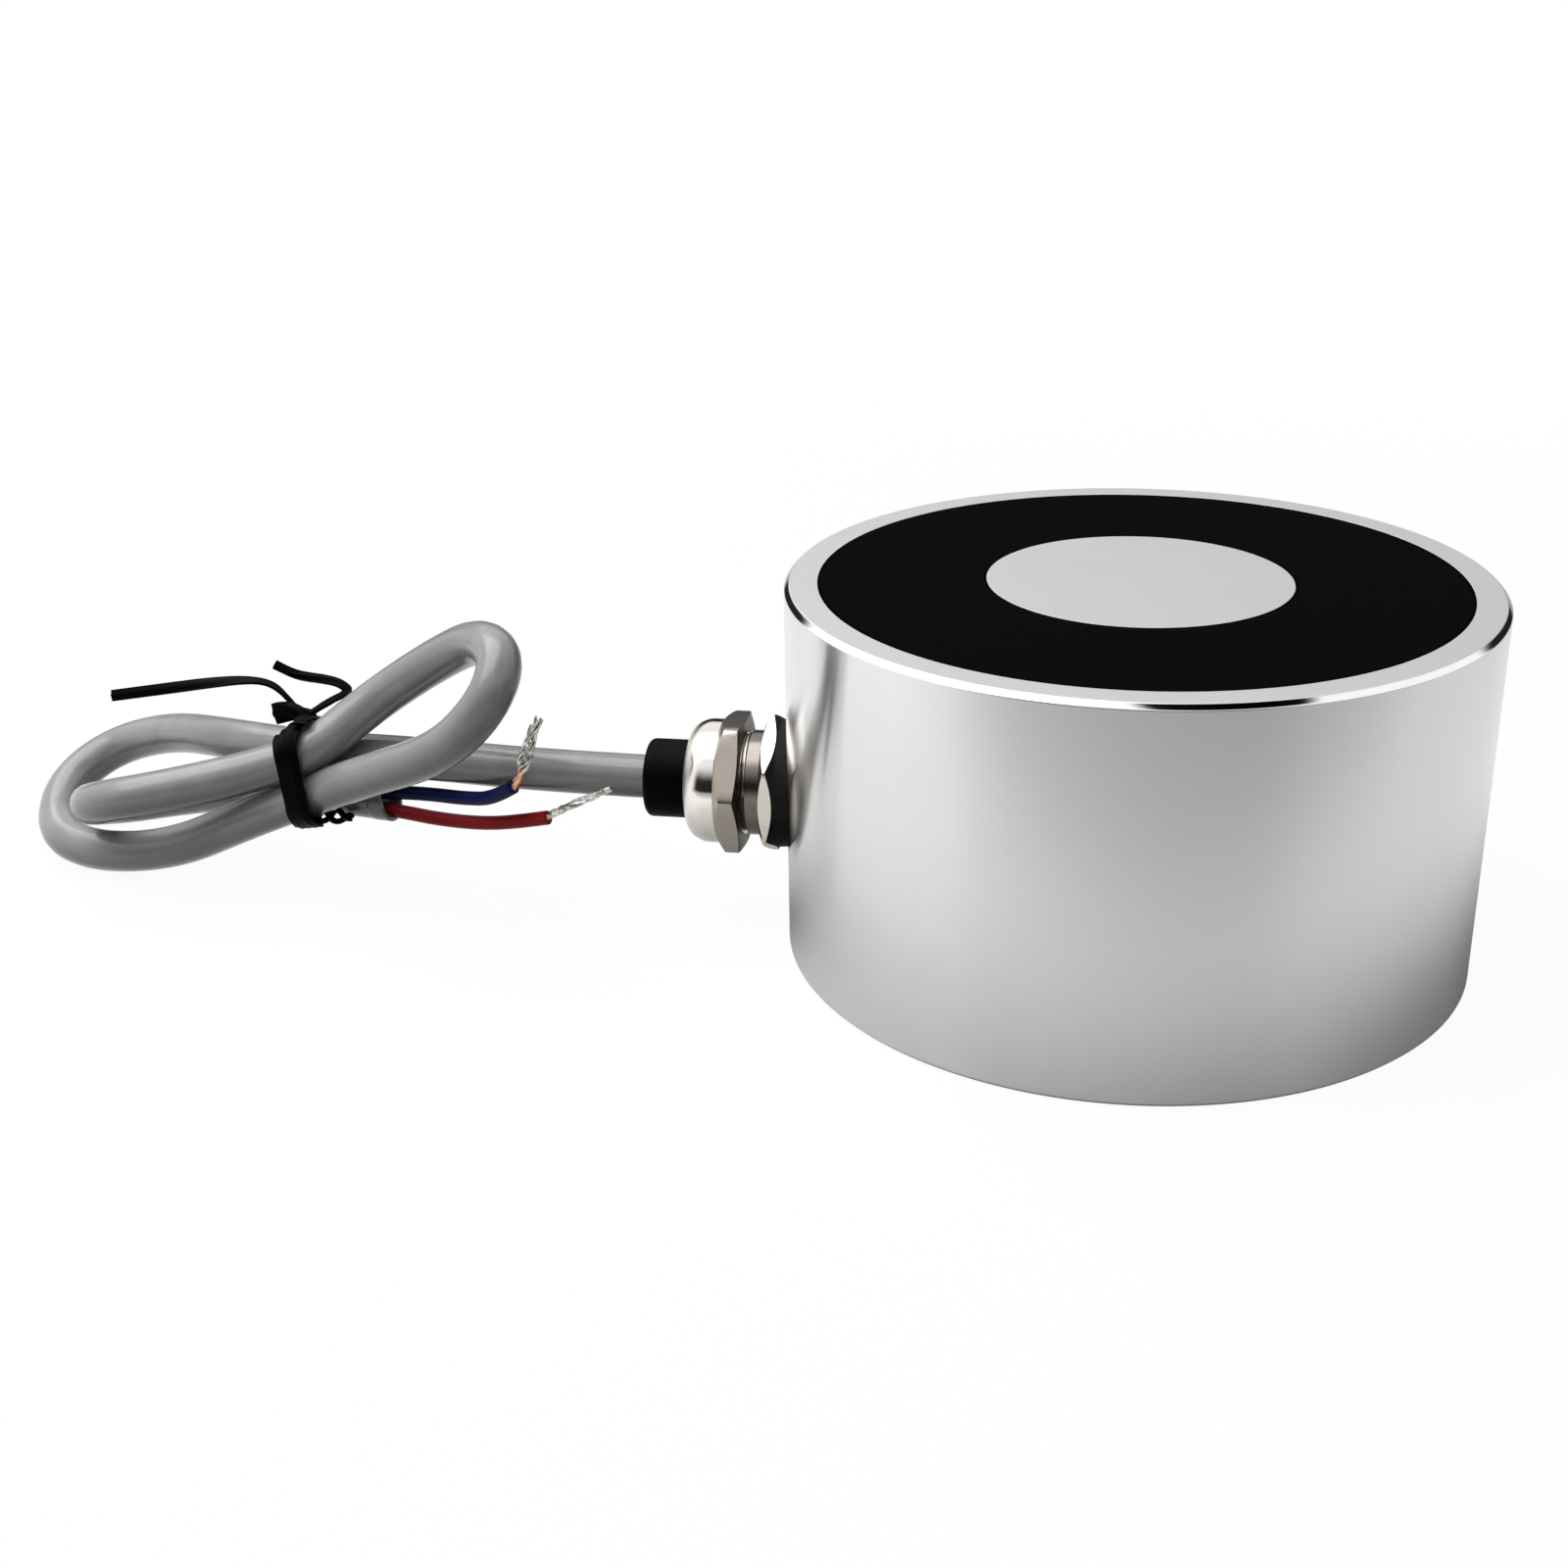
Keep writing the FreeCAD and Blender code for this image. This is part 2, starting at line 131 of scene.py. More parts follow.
class Wire:
    """An output socket of a node tree that can be used in sums."""

    def __init__(self, tree, socket):
        self.tree = tree
        self.socket = socket

    @classmethod
    def node(cls, tree, kind, settings=None, sockets=None, out=0):
        """One node: its settings first, then the values or links of its sockets."""
        made = tree.nodes.new(kind)
        for name, value in (settings or {}).items():
            setattr(made, name, value)
        for name, value in (sockets or {}).items():
            if isinstance(value, Wire):
                tree.links.new(value.socket, made.inputs[name])
            else:
                made.inputs[name].default_value = value
        return cls(tree, made.outputs[out]) if made.outputs else None

    def maths(self, operation, *values):
        return Wire.node(self.tree, "ShaderNodeMath", {"operation": operation}, dict(enumerate(values)))

    def __add__(self, other):
        return self.maths("ADD", self, other)

    def __radd__(self, other):
        return self.maths("ADD", other, self)

    def __sub__(self, other):
        return self.maths("SUBTRACT", self, other)

    def __rsub__(self, other):
        return self.maths("SUBTRACT", other, self)

    def __mul__(self, other):
        return self.maths("MULTIPLY", self, other)

    def __rmul__(self, other):
        return self.maths("MULTIPLY", other, self)

    def __truediv__(self, other):
        return self.maths("DIVIDE", self, other)

    def root(self):
        return self.maths("SQRT", self)

    def sine(self):
        return self.maths("SINE", self)

    def cosine(self):
        return self.maths("COSINE", self)

    def larger(self, other):
        return self.maths("MAXIMUM", self, other)

    def ramp(self, low, high):
        """0 at low, 1 at high, smooth between."""
        settings = {"interpolation_type": "SMOOTHSTEP"}
        return Wire.node(self.tree, "ShaderNodeMapRange", settings, {0: self, 1: low, 2: high})

    def parts(self):
        """The x, y and z of a vector."""
        split = Wire.node(self.tree, "ShaderNodeSeparateXYZ", None, {0: self})
        return [Wire(self.tree, socket) for socket in split.socket.node.outputs]


print("a Wire adds its own Math nodes")

# %% [markdown]
# ## Small helpers for finishes
#
# Most finishes need the same few things: a place on the object, noise at some size, a mix of two colours, a
# bump and the closing surface shader. They could be wired up anew in each finish. Each helper is one call
# instead, so that a finish below is a short list of what the surface is made of. Sizes are written in
# millimetres, as on a drawing.

# %% Finish helpers


def new_finish(name):
    """An empty node material, and its tree."""
    made = bpy.data.materials.new(name)
    made.use_nodes = True
    made.node_tree.nodes.clear()
    return made, made.node_tree


def place_on(tree):
    """The place on the object in millimetres, as a vector and as its x, y and z."""
    place = Wire.node(tree, "ShaderNodeTexCoord", out="Object")
    scaled = Wire.node(tree, "ShaderNodeVectorMath", {"operation": "SCALE"}, {0: place, "Scale": 1 / MM})
    return scaled, scaled.parts()


def joined(tree, x, y, z):
    return Wire.node(tree, "ShaderNodeCombineXYZ", None, {0: x, 1: y, 2: z})


def length_of(first, *others):
    """The length of the vector with these parts."""
    return sum((part * part for part in others), first * first).root()


def noise(tree, place, size, detail=2.0, roughness=0.5):
    """Noise from 0 to 1, with features of this size in the units of the place."""
    sockets = {"Vector": place, "Scale": 1 / size, "Detail": detail, "Roughness": roughness}
    return Wire.node(tree, "ShaderNodeTexNoise", None, sockets)


def mixed(tree, share, first, second):
    """The first colour at share 0, the second at 1."""
    colours = [c if isinstance(c, Wire) else (*c, 1) for c in (first, second)]
    settings = {"data_type": "RGBA"}
    return Wire.node(tree, "ShaderNodeMix", settings, {0: share, 6: colours[0], 7: colours[1]}, out=2)


def bumped(tree, height, depth):
    """A bump whose height of 1 stands this many millimetres out."""
    sockets = {"Height": height, "Distance": depth * MM, "Strength": 1.0}
    return Wire.node(tree, "ShaderNodeBump", None, sockets)


def surfaced(tree, **sockets):
    """Closes a tree with its surface shader. A double underscore in a name stands for a space."""
    named = {name.replace("__", " "): value for name, value in sockets.items()}
    shader = Wire.node(tree, "ShaderNodeBsdfPrincipled", None, named)
    Wire.node(tree, "ShaderNodeOutputMaterial", None, {"Surface": shader})


print("helpers ready")

# %% [markdown]
# ## Studio
#
# The magnet stands on a white table in a white tent. Polished metal shows the room more than its own
# colour, so a plain white room would leave every metal flat. A ring of lamps and black cards could be built
# around the table, but the same tent is shorter as a formula of the direction of a ray. What the metal sees
# has three dark parts: the open front where the camera looks in, the dim room behind the table, and a gap
# overhead. They give the steel its grey middle and the rim its dark stretch. What lights the matt pieces is
# softer: a roof that is brighter to the left and the front, and a panel beside the camera.

# %% World
WHITE = (1, 1, 1, 1)
TENT_LEVEL = 1.08
TENT_FALL = 0.1
DARKNESS = 0.985
FRONT_EDGE = (0.5, 0.8)
FRONT_TOP = (0.3, 0.8)
ROOM_EDGE = (0.56, 0.66)
ROOM_TOP = (0.26, 0.44)
OVERHEAD_GAP = (0.32, -0.26, 0.91)
GAP_EDGE = (0.935, 0.962)
ROOF_LEVEL = 0.4
ROOF_RISE = (0.0, 0.9)
ROOF_FALL = 0.6
FRONT_PANEL = (-0.45, -0.72, 0.53)
PANEL_EDGE = (0.6, 0.95)
PANEL_LEVEL = 0.6


def ray_kinds(tree, *kinds):
    """For each kind of ray: 1 on rays of that kind, 0 on others."""
    outputs = Wire.node(tree, "ShaderNodeLightPath").socket.node.outputs
    return [Wire(tree, outputs["Is %s Ray" % kind]) for kind in kinds]


scene.world = bpy.data.worlds.new("surround")
scene.world.use_nodes = True
sky = scene.world.node_tree
sky.nodes.clear()
direct, glossy, through = ray_kinds(sky, "Camera", "Glossy", "Transmission")
mirrored = glossy.larger(through)
toward = Wire.node(sky, "ShaderNodeTexCoord", out="Generated")
across, depth, height = toward.parts()


def towards(direction):
    """How far a ray goes this way: 1 straight along the direction, 0 across it."""
    settings = {"operation": "DOT_PRODUCT"}
    return Wire.node(sky, "ShaderNodeVectorMath", settings, {0: toward, 1: direction}, out="Value")


front = (0 - depth).ramp(*FRONT_EDGE) * (1 - height.ramp(*FRONT_TOP))
room = depth.ramp(*ROOM_EDGE) * (1 - height.ramp(*ROOM_TOP))
gap = towards(OVERHEAD_GAP).ramp(*GAP_EDGE)
tent = (TENT_LEVEL - TENT_FALL * across) * (1 - DARKNESS * front.larger(room)) * (1 - gap)
roof = ROOF_LEVEL * height.ramp(*ROOF_RISE) * (1 - ROOF_FALL * (across + depth))
panel = PANEL_LEVEL * towards(FRONT_PANEL).ramp(*PANEL_EDGE)
strength = direct + (1 - direct) * (mirrored * tent + (1 - mirrored) * (roof + panel))
backdrop = Wire.node(sky, "ShaderNodeBackground", None, {"Color": WHITE, "Strength": strength})
Wire.node(sky, "ShaderNodeOutputWorld", None, {"Surface": backdrop})
print("world:", len(sky.nodes), "nodes")

# %% [markdown]
# One large soft lamp hangs above on the left. The tent alone would give no direction to the light, and a
# small lamp would give hard shadows. The lamp shades the underside of the lead, and casts the faint shadow
# that sets the cup on the table.

# %% Lamp
LAMP_PLACE = Vector((-270, 20, 480)) * MM
LAMP_TARGET = Vector((-20, 0, 15)) * MM
LAMP_WIDTH = 550 * MM
LAMP_DEPTH = 500 * MM
LAMP_WATTS = 3.3

lamp = placed("lamp_above", bpy.data.lights.new("lamp_above", "AREA"))
lamp.data.shape = "RECTANGLE"
lamp.data.size = LAMP_WIDTH
lamp.data.size_y = LAMP_DEPTH
lamp.data.energy = LAMP_WATTS
lamp.location = LAMP_PLACE
lamp.rotation_mode = "QUATERNION"
lamp.rotation_quaternion = (LAMP_TARGET - LAMP_PLACE).to_track_quat("-Z", "Y")
print("lamp", [round(c, 3) for c in lamp.location])

# %% [markdown]
# The table is pale and plain. It keeps a faint shadow near the object, and turns into pure white further
# out, so that no edge of it shows against the surround. In the metal it ends sooner: the sheet on it is a
# strip that runs from left to right, with the dim room before and behind it, and it is darker close to the
# cup. A second, smaller table just for reflections could do that, but the kind of ray already tells the two
# apart. The light that the table throws back up is held down, because a real table is smaller than this one
# and the undersides of the lead are dark.

# %% Table
TABLE_HALF = 1200 * MM
TABLE_HEIGHT = -0.05 * MM
TABLE_TONE = (0.8, 0.8, 0.8)
BOUNCED_TONE = (0.04, 0.04, 0.04)
MIRRORED_TONE = (0.54, 0.54, 0.54)
SHADOW_DEPTH = 0.05
SHADOW_END = (110.0, 260.0)
SHEET_TURN = math.radians(13)
SHEET_FRONT = (49.0, 92.0)
SHEET_BACK = (105.0, 140.0)
SHEET_NEAR_CUP = (34.0, 72.0)
SHEET_FALL_REACH = 90.0


def table_finish(name):
    """Matt white that glows up to plain white where the camera or the metal should see no shading."""
    made, tree = new_finish(name)
    _, (x, y, _) = place_on(tree)
    direct, glossy, through, bounced = ray_kinds(tree, "Camera", "Glossy", "Transmission", "Diffuse")
    in_metal = glossy.larger(through)
    reach = length_of(x, y)
    forward = x * math.sin(SHEET_TURN) - y * math.cos(SHEET_TURN)
    sheet = (1 - forward.ramp(*SHEET_FRONT)) * (1 - y.ramp(*SHEET_BACK)) * reach.ramp(*SHEET_NEAR_CUP)
    veil = direct * (1 - SHADOW_DEPTH * (1 - reach.ramp(*SHADOW_END))) + in_metal * sheet
    level = direct + in_metal * (TENT_LEVEL - TENT_FALL * x / SHEET_FALL_REACH)
    tone = mixed(tree, in_metal, mixed(tree, bounced, TABLE_TONE, BOUNCED_TONE), MIRRORED_TONE)
    matt = Wire.node(tree, "ShaderNodeBsdfDiffuse", None, {"Color": tone})
    glow = Wire.node(tree, "ShaderNodeEmission", None, {"Color": WHITE, "Strength": level})
    both = Wire.node(tree, "ShaderNodeMixShader", None, {0: veil, 1: matt, 2: glow})
    Wire.node(tree, "ShaderNodeOutputMaterial", None, {"Surface": both})
    return made


table_mesh = bpy.data.meshes.new("table")
corners = [(a * TABLE_HALF, b * TABLE_HALF, TABLE_HEIGHT) for a, b in ((-1, -1), (1, -1), (1, 1), (-1, 1))]
table_mesh.from_pydata(corners, [], [(0, 1, 2, 3)])
table_mesh.materials.append(table_finish("white_table"))
table = placed("table", table_mesh)
print("table", table.dimensions[:])

# %% [markdown]
# ## Finishes of the lead
#
# The lead has a grey plastic sheath, two coloured cores and bare wire. Sheath plastic is not one flat grey:
# it is drawn out of a die, so it has faint streaks and a soft sheen, and it picks up dust. Painted images
# could show that, but noise at two sizes does it at any distance, and a very shallow bump breaks up the
# highlight. On the sheath the streaks also darken the colour, as painted reflections of the dark room. One
# function makes all the plastics and rubbers, because they differ only in tone, gloss and grain.

# %% Plastic finishes
STREAKS_ALONG = 14.0
STREAKS_ROUND = 2.4


def streaks_and_painted_reflections(tree):
    """Narrow streaks along a curve, from 0 to 1: die lines in a bump, and painted dark reflections where
    they darken a colour. The curve's own coordinates run along it and round it.
    """
    along, round_it, _ = Wire.node(tree, "ShaderNodeTexCoord", out="UV").parts()
    turn = round_it * (2 * math.pi)
    ring = joined(tree, along * STREAKS_ALONG, turn.cosine() * STREAKS_ROUND, turn.sine() * STREAKS_ROUND)
    return noise(tree, ring, 1.0, 3.0, 0.6)


def plastic_finish(name, dark, light, roughness, grain, depth, shine=0.5, with_streaks_and_reflections=False):
    """Plastic or rubber: cloudy colour between two tones, a few specks of dust, and a fine uneven skin. On
    request it adds streaks, which are die lines in the bump and painted dark reflections in the colour.
    """
    made, tree = new_finish(name)
    place, _ = place_on(tree)
    clouds = noise(tree, place, 5.0, 3.0)
    skin = noise(tree, place, grain, 4.0, 0.6)
    specks = noise(tree, place, 0.55, 1.0).ramp(0.7, 0.78)
    tone = clouds.ramp(0.3, 0.7) - 0.35 * specks
    relief = skin + 0.5 * clouds
    if with_streaks_and_reflections:
        # Painted reflections: the streaks darken the colour like reflections of the dark room, and in the
        # bump they are the die lines.
        streaks = streaks_and_painted_reflections(tree)
        tone = tone - streaks
        relief = relief + 5.0 * streaks
    surfaced(
        tree,
        Base__Color=mixed(tree, tone, dark, light),
        Roughness=roughness + 0.14 * (skin - 0.5) + 0.1 * specks,
        Normal=bumped(tree, relief, depth),
        Specular__IOR__Level=shine,
    )
    return made


# The sheath's streaks are painted dark reflections in its colour, and die lines in its bump.
sheath_finish = plastic_finish(
    "grey_sheath", (0.25, 0.25, 0.254), (0.33, 0.33, 0.334),
    roughness=0.23, grain=0.35, depth=0.008, shine=0.45, with_streaks_and_reflections=True,
)
red_finish = plastic_finish(
    "red_insulation", (0.28, 0.01, 0.015), (0.38, 0.016, 0.022),
    roughness=0.36, grain=0.3, depth=0.01, shine=0.12,
)
blue_finish = plastic_finish(
    "blue_insulation", (0.003, 0.007, 0.05), (0.006, 0.014, 0.085),
    roughness=0.36, grain=0.3, depth=0.01, shine=0.08,
)
tie_finish = plastic_finish(
    "tie_coating", (0.0008, 0.0008, 0.001), (0.002, 0.002, 0.0023),
    roughness=0.4, grain=0.2, depth=0.012, shine=0.025,
)
print("plastics:", sheath_finish.name, red_finish.name, blue_finish.name, tie_finish.name)

# %% [markdown]
# ## Lead
#
# The lead leaves the bush straight, runs into the tie, goes round a wide loop on the left, comes back
# through the tie, goes up round the right loop, and passes the tie twice more round a smaller left loop. It
# could be modelled as a tube mesh along arcs, but a cable is springy and never bends at a point, so it is
# one smooth spline whose control points are the route's points. They are listed one by one, and are counted
# from the middle of the bush's mouth.

# %% Route of the lead
bush_low, bush_high = in_mm(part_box("gland_seal_bush"))
MOUTH = Vector((bush_low[0], 0, (bush_low[2] + bush_high[2]) / 2))
CABLE_DIAMETER = 4.2
CABLE_ROUTE = [
    (4.5, 0.0, 0.0),
    (-10.4, 0.0, 0.1),
    (-23.3, 1.0, 0.4),
    (-35.5, 2.6, -0.1),
    (-45.4, 6.5, -0.8),
    (-54.9, 13.2, -3.0),
    (-62.9, 14.9, -5.7),
    (-66.8, 10.3, -8.5),
    (-64.8, 3.4, -10.9),
    (-58.8, -0.1, -11.4),
    (-49.4, -1.4, -10.0),
    (-40.5, -2.3, -5.6),
    (-34.5, -2.4, -3.05),
    (-27.3, -4.2, 0.3),
    (-18.1, -8.0, 4.6),
    (-12.6, -10.0, 10.1),
    (-11.4, -7.0, 13.9),
    (-15.1, -2.0, 14.2),
    (-21.0, 1.0, 10.6),
    (-28.0, 1.0, 5.8),
    (-32.8, -2.4, 1.9),
    (-39.1, -2.8, -0.3),
    (-46.9, -5.2, -1.7),
    (-54.2, -5.2, -3.3),
    (-58.4, -1.0, -5.7),
    (-56.9, 4.5, -7.8),
    (-50.9, 6.0, -7.1),
    (-43.4, 4.4, -5.4),
    (-35.5, 2.2, -4.1),
    (-27.6, 1.2, -4.3),
]
print("route of", len(CABLE_ROUTE), "points from", [round(c, 2) for c in MOUTH])

# %% [markdown]
# A curve object holds only its control points, and the smooth line passes beside them. The wires, the bare
# strands and the tie have to follow that line itself. So one helper draws a curve, and another reads the
# line's points from a bare curve that is turned into a mesh. Two more give the direction of a line and the
# directions across it, without which a tube along it would twist.

# %% Lines


def smooth_line(name, route, thickness=0.0):
    """A curve of one smooth spline on these control points, in millimetres from the bush's mouth."""
    curve = bpy.data.curves.new(name, "CURVE")
    curve.dimensions = "3D"
    spline = curve.splines.new("NURBS")
    spline.points.add(len(route) - 1)
    for knot, point in zip(spline.points, route):
        knot.co = (*((MOUTH + Vector(point)) * MM), 1)
    spline.order_u = 3
    spline.use_endpoint_u = True
    spline.resolution_u = 12
    curve.bevel_depth = thickness / 2 * MM
    curve.bevel_resolution = 7
    curve.use_fill_caps = True
    return placed(name, curve)


def points_along(route):
    """The smooth spline of a route as points in millimetres, read from a bare curve."""
    bare = smooth_line("bare_line", route)
    mesh = bpy.data.meshes.new_from_object(bare)
    found = [vertex.co / MM for vertex in mesh.vertices]
    bpy.data.objects.remove(bare)
    return found


def directions_along(line):
    """The direction of a line at each of its points."""
    return [(b - a).normalized() for a, b in zip(line[:1] + line[:-1], line[1:] + line[-1:])]


def sides_along(line):
    """Two directions across a line at each of its points, carried along it without twist."""
    found = []
    across = directions_along(line)[0].orthogonal()
    for ahead in directions_along(line):
        across = (across - ahead * across.dot(ahead)).normalized()
        found.append((across, ahead.cross(across)))
    return found


cable_line = points_along(CABLE_ROUTE)
print("lead length in mm: %.1f" % sum((b - a).length for a, b in zip(cable_line, cable_line[1:])))

# %% [markdown]
# A curve with a round bevel is the sheath itself. It keeps its few control points, which is all that is
# needed to lay the lead in another way later. Each finished piece also hangs on the body it moves with, and
# the plain solid that it stands for is hidden.

# %% Sheath


def dressed(piece, finish, slot, *nodes):
    """Gives a piece its finish, hangs it on the root body, and hides the solids that it stands for."""
    piece.data.materials.append(finish)
    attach(piece, "root")
    if nodes:
        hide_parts(*nodes)
    return piece


cable = smooth_line("lead_sheath", CABLE_ROUTE, CABLE_DIAMETER)
dressed(cable, sheath_finish, "grey_sheath", "cable_sheath")
print("sheath:", cable.name, "of", len(CABLE_ROUTE), "points")

# %% [markdown]
# ## Turned pieces
#
# Most of what follows was turned on a lathe, or is round like it. Blender's Screw modifier spins an outline
# round an axis, but a hexagon needs an outline that changes with the angle, so these pieces are rings that
# ask a function for the outline at each angle.

# %% Rings
WELD = 1e-7


def crisp(mesh, sharp):
    """Smooth shading, with the edges above this angle left crisp."""
    mesh.shade_smooth()
    mesh.set_sharp_from_angle(angle=math.radians(sharp))


def mesh_piece(name, points, faces, sharp):
    """A shaded mesh object from points in millimetres."""
    mesh = bpy.data.meshes.new(name)
    mesh.from_pydata([Vector(p) * MM for p in points], [], faces)
    work = bmesh.new()
    work.from_mesh(mesh)
    bmesh.ops.remove_doubles(work, verts=work.verts, dist=WELD)
    bmesh.ops.recalc_face_normals(work, faces=work.faces)
    work.to_mesh(mesh)
    work.free()
    crisp(mesh, sharp)
    return placed(name, mesh)


def ring_piece(name, outline_at, angles, place, sharp):
    """outline_at(angle) gives (along, radius) points of a section, closed or from axis to axis."""
    points, faces = [], []
    for angle in angles:
        outline = outline_at(angle)
        points += [place(along, radius, angle) for along, radius in outline]
    rows = len(outline)
    on_axis = outline[0][1] == 0 and outline[-1][1] == 0
    for k in range(len(angles)):
        here = k * rows
        there = (k + 1) % len(angles) * rows
        for j in range(rows - 1 if on_axis else rows):
            after = (j + 1) % rows
            faces.append((here + j, here + after, there + after, there + j))
    piece = mesh_piece(name, points, faces, sharp)
    level = piece.modifiers.new("level_faces", "WEIGHTED_NORMAL")
    level.keep_sharp = True
    return piece


def turned_piece(name, outline, steps, place, sharp=30):
    """A ring with the same outline all round."""
    angles = [2 * math.pi * k / steps for k in range(steps)]
    return ring_piece(name, lambda angle: outline, angles, place, sharp)


print("rings ready")

# %% [markdown]
# Real edges are never quite sharp, and the thin bright lines on them are most of what makes a turned piece
# look solid. A bevel modifier would round every edge by the same amount. A rim is crisper than rubber, so
# each corner of an outline has a small rounding of its own here.

# %% Rounded corners


def softened(corners, steps=4):
    """An outline from corners of (along, radius, rounding), each rounded off by its own small amount."""
    found = []
    for before, here, after in zip(corners[-1:] + corners[:-1], corners, corners[1:] + corners[:1]):
        corner = Vector(here[:2])
        if here[2] == 0:
            found.append(tuple(corner))
            continue
        first = corner + (Vector(before[:2]) - corner).normalized() * here[2]
        last = corner + (Vector(after[:2]) - corner).normalized() * here[2]
        for k in range(steps + 1):
            share = k / steps
            found.append(tuple(first.lerp(corner, share).lerp(corner.lerp(last, share), share)))
    return found


print("a rounded square has", len(softened([(0, 0, 0.1), (1, 0, 0.1), (1, 1, 0.1), (0, 1, 0.1)])), "points")

# %% [markdown]
# ## Cut end of the sheath
#
# The sheath is cut off by hand, a little askew, and the cut leaves a lip round the filler in its middle.
# The curve's own flat cap would look like a solid rod, so a short ring is set over it, with the cut's lean
# in its outline.

# %% Sheath end
END_LEAN = 0.55

cable_end = cable_line[-1]
end_ahead = directions_along(cable_line)[-1]
end_across, end_up = sides_along(cable_line)[-1]


def on_sheath_end(along, radius, angle):
    side = end_across * math.cos(angle) + end_up * math.sin(angle)
    lean = -END_LEAN * side.z * max(0.0, along)
    return cable_end + end_ahead * (along + lean) + side * radius


lip_outline = softened([
    (-0.8, 2.06, 0),
    (-0.5, 2.14, 0.1),
    (0.9, 2.13, 0.12),
    (0.9, 1.66, 0.1),
    (-0.8, 1.5, 0),
])
sheath_end = turned_piece("lead_sheath_end", lip_outline, 48, on_sheath_end)
dressed(sheath_end, sheath_finish, "grey_sheath")
print("cut end at", [round(c, 1) for c in cable_end])

# %% [markdown]
# ## Cores
#
# Two insulated cores come out of the cut sheath and part, one red and one blue. They are stiff little
# cables of their own, so they are made as the sheath is: one spline each, with a round bevel. They start
# inside the sheath, so that no gap shows in the cut.

# %% Cores
CORE_DIAMETER = 1.4
RED_ROUTE = [
    (-31.0, 1.3, -5.0),
    (-25.7, 1.0, -5.5),
    (-22.0, 0.5, -5.85),
    (-17.6, -0.6, -5.6),
    (-13.6, -1.8, -4.8),
    (-9.5, -3.0, -3.5),
]
BLUE_ROUTE = [
    (-31.0, 1.6, -3.9),
    (-25.6, 1.2, -3.5),
    (-22.0, 0.6, -3.3),
    (-18.6, -0.7, -2.95),
    (-15.0, -2.4, -2.1),
    (-12.55, -3.6, -0.2),
]
red_core = smooth_line("red_core_wire", RED_ROUTE, CORE_DIAMETER)
blue_core = smooth_line("blue_core_wire", BLUE_ROUTE, CORE_DIAMETER)
dressed(red_core, red_finish, "red_insulation", "red_core")
dressed(blue_core, blue_finish, "blue_insulation", "blue_core")
print("cores:", red_core.name, blue_core.name)

# %% [markdown]
# ## Bare wires
#
# The bare ends are copper with a thin coat of tin. Stripping the plastic off scrapes the tin, so the copper
# shows where the wires leave it, a little on the red core and more on the blue one. Two materials with a
# hard border could show that. One material with a mask by the distance from the end of the plastic gives a
# ragged border, as scraping does.

# %% Finish of the bare wires
RED_STRAND_ROUTE = [
    (-9.9, -2.9, -3.6),
    (-8.8, -3.2, -2.9),
    (-6.2, -3.8, -1.4),
    (-2.65, -4.5, 0.55),
]
BLUE_STRAND_ROUTE = [
    (-12.6, -3.6, -0.4),
    (-11.9, -3.7, 0.7),
    (-11.2, -3.8, 2.6),
    (-10.4, -3.9, 4.9),
    (-9.45, -4.0, 7.15),
]
RED_COPPER_REACH = 0.8
BLUE_COPPER_REACH = 2.9


def bare_wire_finish(name, route, copper_reach):
    """Tinned wire that shows its copper near the start of its route."""
    made, tree = new_finish(name)
    place, axes = place_on(tree)
    away = [axis - start for axis, start in zip(axes, MOUTH + Vector(route[0]))]
    scraped = 1 - length_of(*away).ramp(0.6 * copper_reach, copper_reach)
    tarnish = noise(tree, place, 0.45, 3.0)
    tin = mixed(tree, tarnish.ramp(0.35, 0.7), (0.3, 0.28, 0.25), (0.86, 0.84, 0.79))
    surfaced(
        tree,
        Base__Color=mixed(tree, scraped * (0.55 + 0.45 * tarnish), tin, (0.82, 0.36, 0.18)),
        Metallic=1.0,
        Roughness=0.2 + 0.25 * tarnish,
    )
    return made


red_tin = bare_wire_finish("tinned_copper_red", RED_STRAND_ROUTE, RED_COPPER_REACH)
blue_tin = bare_wire_finish("tinned_copper_blue", BLUE_STRAND_ROUTE, BLUE_COPPER_REACH)
print("bare wire:", red_tin.name, blue_tin.name)

# %% [markdown]
# Each bare end is a handful of fine wires, twisted together by hand. One thick rod would look like solder,
# so each bundle is a set of thin tubes. A curve with a bevel could make each of them, as it does the cores,
# but a bundle is handier as one mesh. So a tube is a row of small rings that are joined by faces. The same
# faces serve the strip of the tie and the screw threads further on.

# %% Tubes


def side_faces(sections, count, start=0):
    """Faces that join closed sections of this many points in a row, and close both ends."""
    last = start + (sections - 1) * count
    faces = []
    for low in range(start, last, count):
        for k in range(count):
            after = (k + 1) % count
            faces.append((low + k, low + after, low + count + after, low + count + k))
    return faces + [tuple(range(start, start + count)), tuple(range(last, last + count))]


def tubes_piece(name, lines, radius, sides):
    """Round tubes along lines of points."""
    points, faces = [], []
    for line in lines:
        faces += side_faces(len(line), sides, len(points))
        for point, (u, v) in zip(line, sides_along(line)):
            for k in range(sides):
                turn = 2 * math.pi * k / sides
                points.append(point + (u * math.cos(turn) + v * math.sin(turn)) * radius)
    return mesh_piece(name, points, faces, 50)


print("a tube of two rings of 8 points has", len(side_faces(2, 8)), "faces")

# %% [markdown]
# The wires of a bundle turn round the same line, and their ends run out unevenly. The red core's wires are
# twisted tight and narrow at both ends. The blue core's wires are pinched where they leave the plastic,
# cross once, and then open into a flat, loose bundle. So the helper takes the bundle's width along the way,
# and how flat it is.

# %% Twisted strands
TWIST_WANDER = 0.35
WIDTH_WANDER = 0.18
RIGHT = Vector((1, 0, 0))


